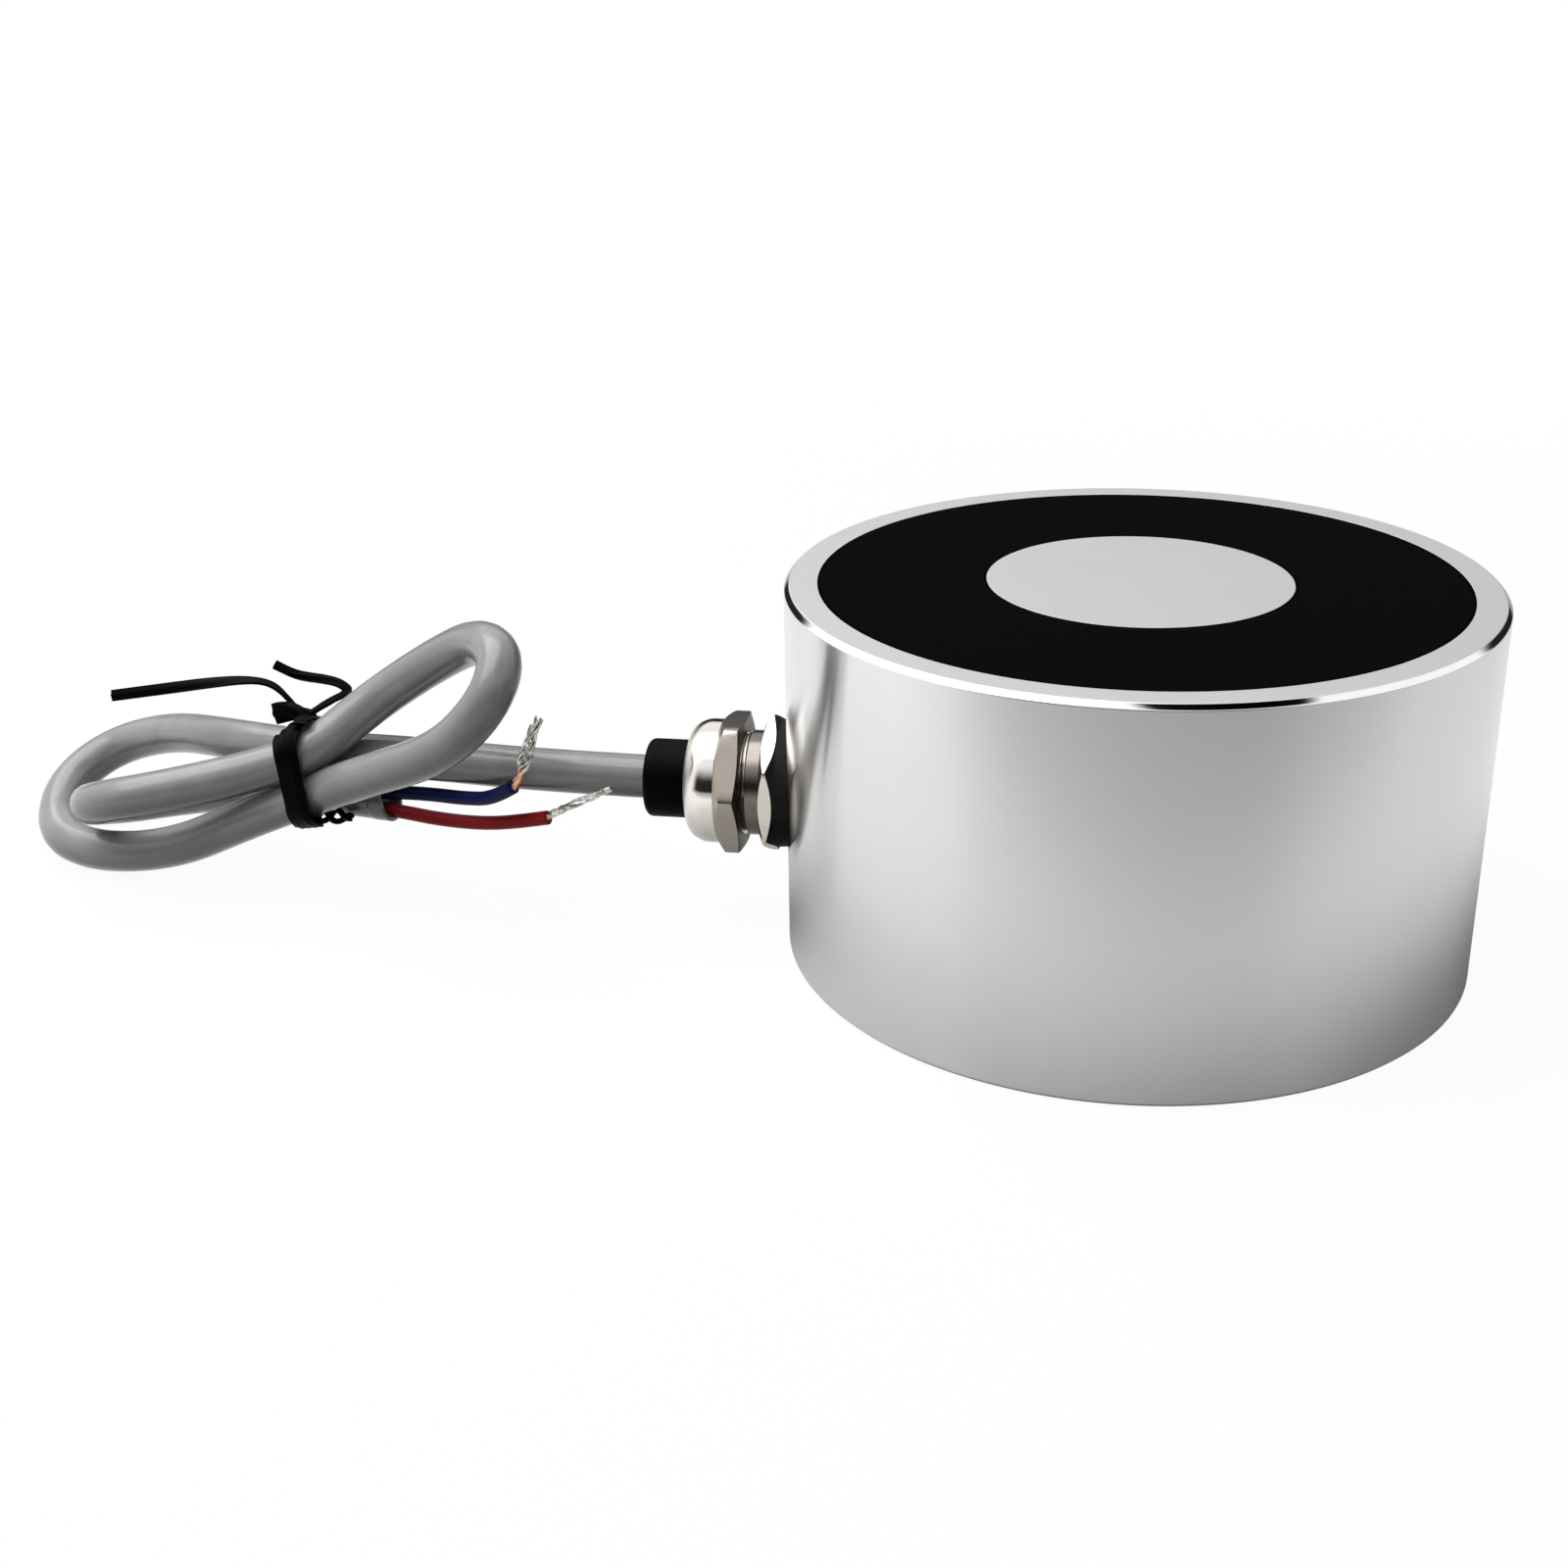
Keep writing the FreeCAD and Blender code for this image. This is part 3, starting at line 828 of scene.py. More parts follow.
def twisted_strands(name, route, turns, width_at, flatness, wire_radius, count):
    """Fine wires that wind round a route. width_at(share) is half the bundle's width along the way."""
    line = points_along(route)
    ahead = directions_along(line)
    last = len(line) - 1
    lines = []
    for k in range(count):
        stop = last - (k * 5) % 7 // 2
        wound = []
        for j, point in enumerate(line[:stop + 1]):
            share = j / last
            across = (RIGHT - ahead[j] * ahead[j].x).normalized()
            deep = ahead[j].cross(across) * flatness
            turn = 2 * math.pi * (k / count + turns * share)
            turn += TWIST_WANDER * math.sin(7.0 * share + 1.7 * k)
            reach = width_at(share) * (1 - WIDTH_WANDER + WIDTH_WANDER * math.sin(5.0 * share + 2.3 * k))
            wound.append(point + (across * math.cos(turn) + deep * math.sin(turn)) * reach)
        lines.append(wound)
    return tubes_piece(name, lines, wire_radius, 7)


BLUE_WIDTHS = [(0, 0.27), (0.14, 0.3), (0.27, 0.17), (0.37, 0.45), (0.5, 0.68), (0.7, 0.62), (1, 0.4)]


def blue_width(share):
    for (low, first), (high, second) in zip(BLUE_WIDTHS, BLUE_WIDTHS[1:]):
        if share <= high:
            return first + (second - first) * (share - low) / (high - low)


def red_width(share):
    return 0.2 + 0.1 * math.sin(math.pi * share)


red_strands = twisted_strands("red_bare_wires", RED_STRAND_ROUTE, 1.5, red_width, 1.0, 0.15, 6)
blue_strands = twisted_strands("blue_bare_wires", BLUE_STRAND_ROUTE, 1.1, blue_width, 0.55, 0.12, 8)
dressed(red_strands, red_tin, "tinned_copper", "red_strands")
dressed(blue_strands, blue_tin, "tinned_copper", "blue_strands")
print("bare wires:", len(red_strands.data.polygons), len(blue_strands.data.polygons), "faces")

# %% [markdown]
# ## Twist tie
#
# The hank is held by a black twist tie: a flat plastic strip with a wire in it, wound about three times
# round the four strands, twisted on top, with two loose tails. A plain band would be quicker, but the turns
# show, and so does the low ridge that the wire makes along the strip. A curve can be given a shape of its
# own to run along it, but it turns as it likes. So the strip is rows of points that face a given way.

# %% Strip of the tie
STRIP_WIDTH = 1.35
STRIP_THICKNESS = 0.5
STRIP_STAND_OFF = 2.35
STRIP_SHAPE = [(-0.5, -0.24), (-0.5, 0.24), (-0.22, 0.3), (0, 0.5), (0.22, 0.3)]
STRIP_SHAPE += [(-a, -b) for a, b in STRIP_SHAPE]


def strip_piece(name, line, faces_to, widths, thickness):
    """A flat strip with a wire in its middle, along a line, its broad side turned to these directions."""
    points = []
    for point, ahead, facing, width in zip(line, directions_along(line), faces_to, widths):
        out = (facing - ahead * facing.dot(ahead)).normalized()
        across = ahead.cross(out)
        points += [point + across * (a * width) + out * (b * thickness) for a, b in STRIP_SHAPE]
    return mesh_piece(name, points, side_faces(len(line), len(STRIP_SHAPE)), 60)


print("strip of", len(STRIP_SHAPE), "points,", STRIP_WIDTH, "mm wide")

# %% [markdown]
# The strip has to lie on the strands, so its line is worked out from them: at each angle it touches the
# strand that reaches furthest that way. A shrinkwrap modifier could press it on, but it would also press it
# into the gaps between the strands. The turns fan out above, lie close at the front, and are pulled to one
# side underneath.

# %% Turns of the tie
TIE_X = MOUTH.x - 34.3
TIE_LEAN = -0.09
TIE_BOW = 0.4
TIE_MIDDLE_Z = 12.5
TIE_HALF_HEIGHT = 4.5
TIE_START = math.radians(75)
TIE_TURNS = 3.1
TIE_STEPS = 60
MIDDLE_TURN = 1.45
TURN_LIFT = 0.26
TUCK_BEGINS = -0.36
TUCK_RUN = 0.1


def strands_at(x):
    """Where the lead's strands cross the plane at this x."""
    found = []
    for a, b in zip(cable_line, cable_line[1:]):
        if (a.x - x) * (b.x - x) < 0:
            found.append(a.lerp(b, (x - a.x) / (b.x - a.x)))
    return found


def around_strands(angle, shift, lift):
    """A point of the strip at this angle round the strands, and the direction that it faces."""
    out = Vector((0, math.cos(angle), math.sin(angle)))
    strands = strands_at(TIE_X)
    outermost = max(range(len(strands)), key=lambda k: out.dot(strands[k]))
    touch = strands_at(TIE_X + shift)[outermost] + out * (STRIP_STAND_OFF + lift)
    level = touch.z - TIE_MIDDLE_Z
    touch.x += TIE_LEAN * level
    if out.y < 0:
        touch.x += TIE_BOW * max(0.0, 1 - (level / TIE_HALF_HEIGHT) ** 2)
    return touch, out


def turn_offsets(turn, angle):
    """How far a turn lies to one side at this angle, and how far it stands off."""
    below = max(0.0, -math.sin(angle))
    in_front = max(0.0, -math.cos(angle))
    spread = 0.9 - 0.1 * math.sin(angle) - 0.3 * in_front ** 1.5
    tucked = below * min(1.0, max(0.0, math.cos(angle) - TUCK_BEGINS) / TUCK_RUN)
    flared = 2 * below ** 2 * in_front
    fan = (turn - MIDDLE_TURN) * spread * (1 - 0.8 * tucked - 0.2 * flared)
    lift = TURN_LIFT * turn * (1 - 0.4 * below) + 0.4 * flared
    return fan - 2.0 * tucked + 0.6 * flared, lift


turns_line, turns_out = [], []
for k in range(int(TIE_TURNS * TIE_STEPS) + 1):
    turn = k / TIE_STEPS
    angle = TIE_START + 2 * math.pi * turn
    point, out = around_strands(angle, *turn_offsets(turn, angle))
    turns_line.append(point)
    turns_out.append(out)
turns_widths = [STRIP_WIDTH] * len(turns_line)
tie_turns = strip_piece("tie_turns", turns_line, turns_out, turns_widths, STRIP_THICKNESS)
dressed(tie_turns, tie_finish, "tie_coating", "twist_tie")
print("tie turns:", len(turns_line), "points")

# %% [markdown]
# The ends of the strip are twisted into a small lump on top. One tail lies out to the left and shows its
# broad side at its end; the other curls back. Below, a short twisted pair of wires sticks out of the band.
# The tails could be plain wires, but the flat strip catches the light as it turns, so each tail turns its
# broad side from the sky to the viewer.

# %% Knot and tails of the tie
UPWARD = Vector((0, 0.45, 0.9))
TO_VIEWER = Vector((0.1, -0.9, 0.4))
KNOT_TWIST = math.radians(170)
TIE_KNOT_ROUTE = [
    (-33.5, 0.0, 4.6),
    (-34.7, 0.2, 5.0),
    (-36.2, 0.3, 5.0),
    (-37.5, 0.4, 4.6),
]
TIE_LONG_TAIL_ROUTE = [
    (-35.4, 0.5, 5.3),
    (-36.6, 0.9, 6.6),
    (-38.3, 1.4, 7.5),
    (-41.1, 2.0, 7.4),
    (-45.0, 2.6, 6.7),
    (-49.3, 3.1, 5.8),
    (-56.15, 3.5, 4.5),
]
TIE_SHORT_TAIL_ROUTE = [
    (-34.0, -0.3, 4.8),
    (-33.2, 0.7, 5.2),
    (-32.4, 3.0, 5.4),
    (-31.3, 4.7, 5.6),
    (-32.4, 5.1, 6.3),
    (-34.0, 5.2, 6.6),
    (-36.3, 5.2, 6.8),
    (-37.7, 5.2, 7.2),
    (-39.15, 5.2, 7.95),
]


def tail_piece(name, route, first_width, last_width, thickness, twist=0.0):
    """A strip along a route that turns its broad side from the sky to the viewer."""
    line = points_along(route)
    shares = [k / (len(line) - 1) for k in range(len(line))]
    facing = []
    for share, ahead in zip(shares, directions_along(line)):
        lean = UPWARD.lerp(TO_VIEWER, share).normalized()
        lean.rotate(Quaternion(ahead, twist * share))
        facing.append(lean)
    widths = [first_width + (last_width - first_width) * share for share in shares]
    return strip_piece(name, line, facing, widths, thickness)


tie_knot = tail_piece("tie_knot", TIE_KNOT_ROUTE, 1.6, 2.1, 1.25, KNOT_TWIST)
tie_long = tail_piece("tie_long_tail", TIE_LONG_TAIL_ROUTE, 1.0, 1.15, 0.6)
tie_short = tail_piece("tie_short_tail", TIE_SHORT_TAIL_ROUTE, 0.95, 0.95, 0.68)
print("tails:", tie_knot.name, tie_long.name, tie_short.name)

# %% [markdown]
# The twisted pair below the band is two round wires that cross and close up at their tip. Two tubes on one
# line, half a turn apart, make it.

# %% Twisted pair of the tie
TIE_TWIST_ROUTE = [
    (-34.7, -1.3, -5.5),
    (-33.3, -1.1, -5.35),
    (-31.5, -1.1, -5.3),
    (-30.1, -1.1, -5.45),
]
PAIR_RADIUS = 0.31
PAIR_REACH = 0.6
PAIR_CROSSING = 0.32
PAIR_HALF_TURN = 0.37
PAIR_TIP_REACH = 0.2
PAIR_CLOSING = 0.2

pair_line = points_along(TIE_TWIST_ROUTE)
pair = []
for half in (0, math.pi):
    wound = []
    for j, point in enumerate(pair_line):
        share = j / (len(pair_line) - 1)
        turn = half + math.pi * (share - PAIR_CROSSING) / PAIR_HALF_TURN
        reach = PAIR_REACH * min(1.0, PAIR_TIP_REACH + (1 - share) / PAIR_CLOSING)
        wound.append(point + (UPWARD * math.cos(turn) + TO_VIEWER * math.sin(turn)) * reach)
    pair.append(wound)
tie_pair = tubes_piece("tie_twisted_pair", pair, PAIR_RADIUS, 8)
tie_ends = [tie_knot, tie_long, tie_short, tie_pair]
for piece in tie_ends:
    dressed(piece, tie_finish, "tie_coating")

# %% [markdown]
# That is the whole lead, from the bush to the cut end of the sheath, all of which the photograph shows, and
# it ends bare.

print("lead made")

# %% [markdown]
# ## Steel
#
# The cup and its pole are turned from one bar and bright plated. A lathe leaves fine rings, so the
# reflection on the wall is smeared across them, up and down. Real grooves of that size would take millions
# of faces, so the anisotropic setting of the surface shader does it, with its direction turned a quarter so
# that it lies across the rings. The holding face is ground and dull, and the chamfer round it is cut last
# with a sharp tool and is nearly a mirror. Those two share a second finish, with a mask by height.

# %% Plated steel
CUP_RADIUS, _, CUP_HEIGHT = in_mm(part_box("pot_core"))[1]
RING_SPACING = 1 / 8
FACE_EDGE = (CUP_HEIGHT - 0.08, CUP_HEIGHT - 0.02)


def turned_steel(name, roughness, rings):
    """Bright turned steel about the upright axis."""
    made, tree = new_finish(name)
    place, (x, y, z) = place_on(tree)
    radius = length_of(x, y)
    lathe = joined(tree, x / radius * 1.2, y / radius * 1.2, (radius + z) / RING_SPACING)
    lines = noise(tree, lathe, 1.0, 3.0, 0.65)
    clouds = noise(tree, place, 11.0, 3.0)
    surfaced(
        tree,
        Base__Color=mixed(tree, 0.3 * lines + 0.7 * clouds, (0.62, 0.62, 0.624), (0.71, 0.71, 0.71)),
        Metallic=1.0,
        Roughness=roughness + rings * (lines - 0.5) + 0.05 * (clouds - 0.5),
        Normal=bumped(tree, lines, 0.0003),
        Anisotropic=1.0,
        Anisotropic__Rotation=0.25,
    )
    return made


def ground_steel(name):
    """The holding face, ground dull and even, and the chamfer round it, which is nearly a mirror."""
    made, tree = new_finish(name)
    place, (_, _, z) = place_on(tree)
    flat = z.ramp(*FACE_EDGE)
    marks = noise(tree, place, 0.25, 3.0, 0.6)
    clouds = noise(tree, place, 9.0, 3.0)
    dull = mixed(tree, 0.3 * marks + 0.7 * clouds, (0.59, 0.59, 0.594), (0.64, 0.64, 0.64))
    surfaced(
        tree,
        Base__Color=mixed(tree, flat, (0.92, 0.92, 0.924), dull),
        Metallic=1.0,
        Roughness=0.07 + flat * (0.39 + 0.06 * marks),
        Normal=bumped(tree, marks * flat, 0.0004),
    )
    return made


steel_finish = turned_steel("plated_steel", 0.21, 0.04)
face_finish = ground_steel("ground_steel")
print("steel:", steel_finish.name, face_finish.name)

# %% [markdown]
# ## Cup
#
# The cup is a ring about the upright axis. The port for the gland is drilled from the side, with a flat
# seat round it. A ring can't have that, so a second ring about the gland's axis is cut out of it. Two
# helpers set a ring's points about one axis or the other. A third makes the cut, and makes it for good,
# because the faces that it leaves still have to be shaded and finished.

# %% Axes and cuts
GLAND_HEIGHT = MOUTH.z


def on_cup(along, radius, angle):
    return (radius * math.cos(angle), radius * math.sin(angle), along)


def on_gland(corner=0.0):
    """Places points round the gland's axis. The angle starts at this corner above the viewer's side."""
    def place(along, radius, angle):
        turn = angle + math.radians(corner)
        return (-along, -radius * math.cos(turn), GLAND_HEIGHT + radius * math.sin(turn))
    return place


def cut_out(piece, cutter, sharp):
    """Cuts one mesh out of another for good, and removes the cutter."""
    hole = piece.modifiers.new("hole", "BOOLEAN")
    hole.object = cutter
    hole.solver = "EXACT"
    piece.modifiers.move(1, 0)
    piece.modifiers["level_faces"].show_viewport = False
    seen = piece.evaluated_get(bpy.context.evaluated_depsgraph_get())
    piece.data = bpy.data.meshes.new_from_object(seen)
    piece.modifiers.remove(piece.modifiers["hole"])
    piece.modifiers["level_faces"].show_viewport = True
    bpy.data.objects.remove(cutter)
    crisp(piece.data, sharp)


def second_finish(piece, finish, chosen):
    """Gives a piece's chosen faces another finish."""
    piece.data.materials.append(finish)
    for face in piece.data.polygons:
        if chosen(face):
            face.material_index = len(piece.data.materials) - 1


print("gland axis at %.2f mm" % GLAND_HEIGHT)

# %% [markdown]
# The outline of the cup starts at the tip of the hole in its back, goes round the outside, over the rim and
# through the groove, and ends in the middle of the pole. A stack of cylinders, joined and cut, would give
# the same shape, but in one outline each edge keeps a rounding of its own. The faces of the holding side
# and its chamfer get the ground finish afterwards.

# %% Cup
(_, _, GROOVE_FLOOR), (GROOVE_RADIUS, _, _) = in_mm(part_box("potting_compound"))
POLE_RADIUS = 13.5
RIM_CHAMFER = 0.45
BACK_CHAMFER = 0.4
HOLE_RADIUS = 3.4
HOLE_DEPTH = 12.0
DRILL_TIP = 14.04
THREAD_ROOT = 4.02
THREAD_DEPTH = 9.9
HOLE_MOUTH_RADIUS = 4.6
HOLE_MOUTH_DEPTH = 0.6
SEAT_RADIUS = 6.0
PORT_RADIUS = 5.0
PORT_INNER = 27.5
PORT_OUTER = 34.0
CUP_SHARP = 12


def gland_span(node):
    """Where a solid of the gland starts and ends, as distances from the cup's axis."""
    low, high = in_mm(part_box(node))
    return -high[0], -low[0]


SEAT, BODY_START = gland_span("gland_gasket")
cup_outline = softened([
    (DRILL_TIP, 0, 0),
    (HOLE_DEPTH, HOLE_RADIUS, 0),
    (THREAD_DEPTH, HOLE_RADIUS, 0),
    (THREAD_DEPTH, THREAD_ROOT, 0),
    (HOLE_MOUTH_DEPTH, THREAD_ROOT, 0),
    (0, HOLE_MOUTH_RADIUS, 0.08),
    (0, CUP_RADIUS - BACK_CHAMFER, 0.1),
    (BACK_CHAMFER, CUP_RADIUS, 0.12),
    (CUP_HEIGHT - RIM_CHAMFER, CUP_RADIUS, 0.09),
    (CUP_HEIGHT, CUP_RADIUS - RIM_CHAMFER, 0.09),
    (CUP_HEIGHT, GROOVE_RADIUS, 0.08),
    (GROOVE_FLOOR, GROOVE_RADIUS, 0),
    (GROOVE_FLOOR, POLE_RADIUS, 0),
    (CUP_HEIGHT, POLE_RADIUS, 0.08),
    (CUP_HEIGHT, 0, 0),
])
port_outline = [
    (PORT_INNER, 0),
    (PORT_INNER, PORT_RADIUS),
    (SEAT, PORT_RADIUS),
    (SEAT, SEAT_RADIUS),
    (PORT_OUTER, SEAT_RADIUS),
    (PORT_OUTER, 0),
]
cup = turned_piece("steel_cup", cup_outline, 256, on_cup, CUP_SHARP)
cut_out(cup, turned_piece("port_cutter", port_outline, 96, on_gland()), CUP_SHARP)
dressed(cup, steel_finish, "plated_steel", "pot_core")
rim_foot = (CUP_HEIGHT - 1.2 * RIM_CHAMFER) * MM
second_finish(cup, face_finish, lambda face: face.center.z > rim_foot and face.normal.z > 0.3)
print("cup:", len(cup.data.polygons), "faces")

# %% [markdown]
# The hole in the back is tapped for the screw that carries the magnet. It shows only from below, where a
# plain round hole would look unfinished. A bump could fake the thread, but its edge at the mouth would stay
# round, so the thread is a real ridge that winds up the hole and runs out at both ends.

# %% Mounting thread
THREAD_SHAPE = [(-0.45, 0), (-0.07, 1), (0.07, 1), (0.45, 0)]
THREAD_END_HEIGHT = 0.05
THREAD_RISE = 2


def thread_piece(name, first, last, pitch, foot, crest, place, steps):
    """A screw thread as one ridge that winds from first to last, with this many steps a turn."""
    count = int((last - first) / pitch * steps)
    points = []
    for k in range(count + 1):
        turns_from_end = min(k, count - k) / steps
        height = min(1.0, THREAD_END_HEIGHT + THREAD_RISE * turns_from_end) * (crest - foot)
        along = first + pitch * k / steps
        angle = 2 * math.pi * k / steps
        points += [place(along + a * pitch, foot + up * height, angle) for a, up in THREAD_SHAPE]
    return mesh_piece(name, points, side_faces(count + 1, len(THREAD_SHAPE)), 30)


bore_finish = turned_steel("tapped_steel", 0.38, 0.12)
mount_thread = thread_piece(
    "mounting_thread_ridge", 0.75, 9.6, pitch=1.25,
    foot=THREAD_ROOT + 0.02, crest=HOLE_RADIUS, place=on_cup, steps=48,
)
dressed(mount_thread, bore_finish, "plated_steel")
print("thread:", len(mount_thread.data.polygons), "faces")

# %% [markdown]
# ## Resin
#
# The coil is sealed under black resin that was ground flat together with the rim and the pole. Ground resin
# is dull, with fine marks in circles. Where it has shrunk away from the steel, a thin darker line is
# painted into its colour as the shade in that gap. Its solid has the right shape already, so it keeps its
# mesh and only gets this finish.

# %% Resin finish
GAP_SHADE_WIDTH = (0.1, 0.35)


def ground_resin(name):
    """Black resin with circular grinding marks, rougher along both steel walls and darkened there as
    painted shade of the shrink gap.
    """
    made, tree = new_finish(name)
    place, (x, y, _) = place_on(tree)
    radius = length_of(x, y)
    marks = noise(tree, joined(tree, x / radius * 2.5, y / radius * 2.5, radius * 5.0), 1.0, 3.0, 0.6)
    grain = noise(tree, place, 0.3, 3.0, 0.6)
    # Painted shade: a thin band along each steel wall is darkened in the colour, as the shade in the shrink
    # gap.
    wall_gap_shade = 1 - (GROOVE_RADIUS - radius).ramp(*GAP_SHADE_WIDTH)
    shrink_gap_shade = wall_gap_shade.larger(1 - (radius - POLE_RADIUS).ramp(*GAP_SHADE_WIDTH))
    tone = 0.6 * marks + 0.4 * grain - 0.8 * shrink_gap_shade
    surfaced(
        tree,
        Base__Color=mixed(tree, tone, (0.001, 0.001, 0.0011), (0.0034, 0.0034, 0.0036)),
        Roughness=0.62 + 0.2 * (marks - 0.5) + 0.2 * shrink_gap_shade,
        Normal=bumped(tree, marks + 0.5 * grain, 0.004),
        Specular__IOR__Level=0.004,
    )
    return made


def finish_solid(node, finish):
    """Gives a CAD solid that stays as it is a finish in its own slot."""
    slot = frame["nodes"][node].material_slots[0]
    slot.link = "OBJECT"
    slot.material = finish


resin_finish = ground_resin("black_resin")
finish_solid("potting_compound", resin_finish)
print("resin:", resin_finish.name)

# %% [markdown]
# ## Cable gland
#
# The gland is a brass fitting with warm nickel plate: a hexagon that screws into the cup, a short neck with
# a fine thread, and a nut whose hexagon runs into a dome. The flats are milled and satin, and darker on the
# nut than on the body. The neck is darker still, as painted shade of the recess between the two hexagons.
# The dome is buffed like a mirror and worn dull at its end. Nut and dome are one piece of metal, so one
# finish covers both, with masks along the gland's axis. The recesses by the nut, the fine thread's root and
# the bores get a dull, near-black plate of their own, and its black is painted shade. The rubber of the
# seal and the bush is the plastic finish again, in black.

# %% Nickel plate
NUT_START, DOME_END = gland_span("gland_dome_nut")
NUT_LENGTH = 2.2
NUT_END = NUT_START + NUT_LENGTH
BUFFED_EDGE = (NUT_END, NUT_END + 0.1)
WORN_EDGE = (39.6, 40.8)
WORN_ROUGHNESS = 0.3


def nickel(name, dark, light):
    """Warm nickel plate: satin between two tones, and a mirror from the end of the nut's hexagon on."""
    made, tree = new_finish(name)
    place, (x, y, z) = place_on(tree)
    buffed = (0 - x).ramp(*BUFFED_EDGE)
    worn = WORN_ROUGHNESS * (0 - x).ramp(*WORN_EDGE)
    milled = noise(tree, joined(tree, x * 0.6, y * 6.0, z * 6.0), 1.0, 3.0, 0.6)
    stain = noise(tree, place, 1.6, 3.0)
    satin = mixed(tree, 0.5 * stain + 0.5 * milled, dark, light)
    polish = mixed(tree, stain, (0.71, 0.68, 0.63), (0.82, 0.79, 0.74))
    surfaced(
        tree,
        Base__Color=mixed(tree, buffed, satin, polish),
        Metallic=1.0,
        Roughness=(0.25 + 0.1 * (milled - 0.5)) * (1 - buffed) + (0.08 + 0.05 * stain + worn) * buffed,
        Normal=bumped(tree, milled * (1 - buffed), 0.0004),
    )
    return made


def recess_shade_nickel(name):
    """Dull plate for the recesses, made near black as painted shade of those recesses."""
    made, tree = new_finish(name)
    place, _ = place_on(tree)
    stain = noise(tree, place, 0.5, 3.0)
    surfaced(
        tree,
        Base__Color=mixed(tree, stain, (0.02, 0.018, 0.016), (0.08, 0.072, 0.065)),
        Metallic=1.0,
        Roughness=0.3 + 0.2 * stain,
    )
    return made


recess_shade_finish = recess_shade_nickel("nickel_plate_painted_recess_shade")
nut_finish = nickel("nickel_plate_nut", (0.33, 0.29, 0.255), (0.46, 0.41, 0.365))
# Painted shade: the neck is the same plate in darker tones, as the shade in the recess between the two
# hexagons.
neck_painted_shade_finish = nickel("nickel_plate_neck_painted_shade", (0.13, 0.115, 0.1), (0.22, 0.195, 0.175))
body_finish = nickel("nickel_plate_body", (0.58, 0.53, 0.48), (0.74, 0.68, 0.62))
bush_finish = plastic_finish(
    "black_rubber", (0.0006, 0.0006, 0.0007), (0.0016, 0.0016, 0.0018),
    roughness=0.42, grain=0.25, depth=0.006, shine=0.03,
)
seal_finish = plastic_finish(
    "black_seal_rubber", (0.006, 0.006, 0.006), (0.015, 0.015, 0.014),
    roughness=0.5, grain=0.25, depth=0.006, shine=0.06,
)
print("gland finishes:", nut_finish.name, neck_painted_shade_finish.name, body_finish.name, bush_finish.name)

# %% [markdown]
# ## Hexagons
#
# A hexagon that is chamfered on a lathe has a curved edge on each flat: the cone cuts deep at the corners
# and hardly at all in the middle. A bevel modifier would give straight edges. The curve comes out by itself
# when the ring's outline follows the hexagon's radius at each angle. The corners are tumbled round, which a
# steep power mean of the hexagon and a circle gives.

# %% Hexagon helpers
HEX_HALF_FLATS = 6.1
HEX_FACE = 6.0
HEX_BLUNT = 7.0
HEX_CRISPNESS = 60
HEX_CORNER = HEX_HALF_FLATS / math.cos(math.radians(30))
HEX_STEPS = [0, 1, 2, 3.5, 5, 7, 10, 15, 20, 25, 30, 35, 40, 45, 50, 53, 55, 56.5, 58, 59]
HEX_ANGLES = [math.radians(60 * side + step) for side in range(6) for step in HEX_STEPS]


def hex_radius(angle):
    """Radius of the hexagon at an angle from one of its corners, which are tumbled a little round."""
    flat = HEX_HALF_FLATS / math.cos(angle % math.radians(60) - math.radians(30))
    return (flat ** -HEX_CRISPNESS + HEX_BLUNT ** -HEX_CRISPNESS) ** (-1 / HEX_CRISPNESS)


def cone_place(start, length, radius):
    """Where along the axis a cone that rises from the face's edge to the corner has this radius."""
    return start + length * (radius - HEX_FACE) / (HEX_CORNER - HEX_FACE)


print("hexagon: %d angles" % len(HEX_ANGLES))

# %% [markdown]
# ## Gland body
#
# The body is one turned and milled piece: a threaded stub in the cup, a thin hexagon with a wide cone
# towards the cup, a plain neck, and the thread that carries the nut. The bores for the cable and the bush
# are in the same outline. Only the last turns of the nut's thread show in the gap, so just those are made
# as a ridge.

# %% Gland body
STUB_END, BODY_TIP = gland_span("gland_body")
BUSH_START, BUSH_END = gland_span("gland_seal_bush")
BODY_LENGTH = 1.4
BODY_END = BODY_START + BODY_LENGTH
BODY_CONE = 0.69
BODY_BEVEL = 0.6
BODY_RECESS = 0.12
BODY_CORNER = 30.0
STUB_RADIUS = 4.95
CABLE_BORE = 2.3
BUSH_BORE = 3.78
NECK_END = 35.25
NECK_RADIUS = 5.0
FINE_ROOT = 4.62


def body_outline(angle):
    radius = hex_radius(angle)
    return softened([
        (STUB_END, CABLE_BORE, 0),
        (STUB_END, STUB_RADIUS, 0),
        (BODY_START + BODY_RECESS, STUB_RADIUS, 0),
        (BODY_START + BODY_RECESS, HEX_FACE - 0.1, 0),
        (cone_place(BODY_START, BODY_CONE, radius), radius, 0.03),
        (cone_place(BODY_END, -BODY_BEVEL, radius), radius, 0.03),
        (BODY_END, HEX_FACE, 0.04),
        (BODY_END, NECK_RADIUS, 0),
        (NECK_END, NECK_RADIUS, 0.1),
        (NECK_END + 0.1, FINE_ROOT, 0),
        (BODY_TIP, FINE_ROOT, 0),
        (BODY_TIP, BUSH_BORE, 0),
        (BUSH_START, BUSH_BORE, 0),
        (BUSH_START, CABLE_BORE, 0),
    ], 3)


gland_body = ring_piece("gland_body_hexagon", body_outline, HEX_ANGLES, on_gland(BODY_CORNER), 24)
dressed(gland_body, body_finish, "nickel_plate", "gland_body")
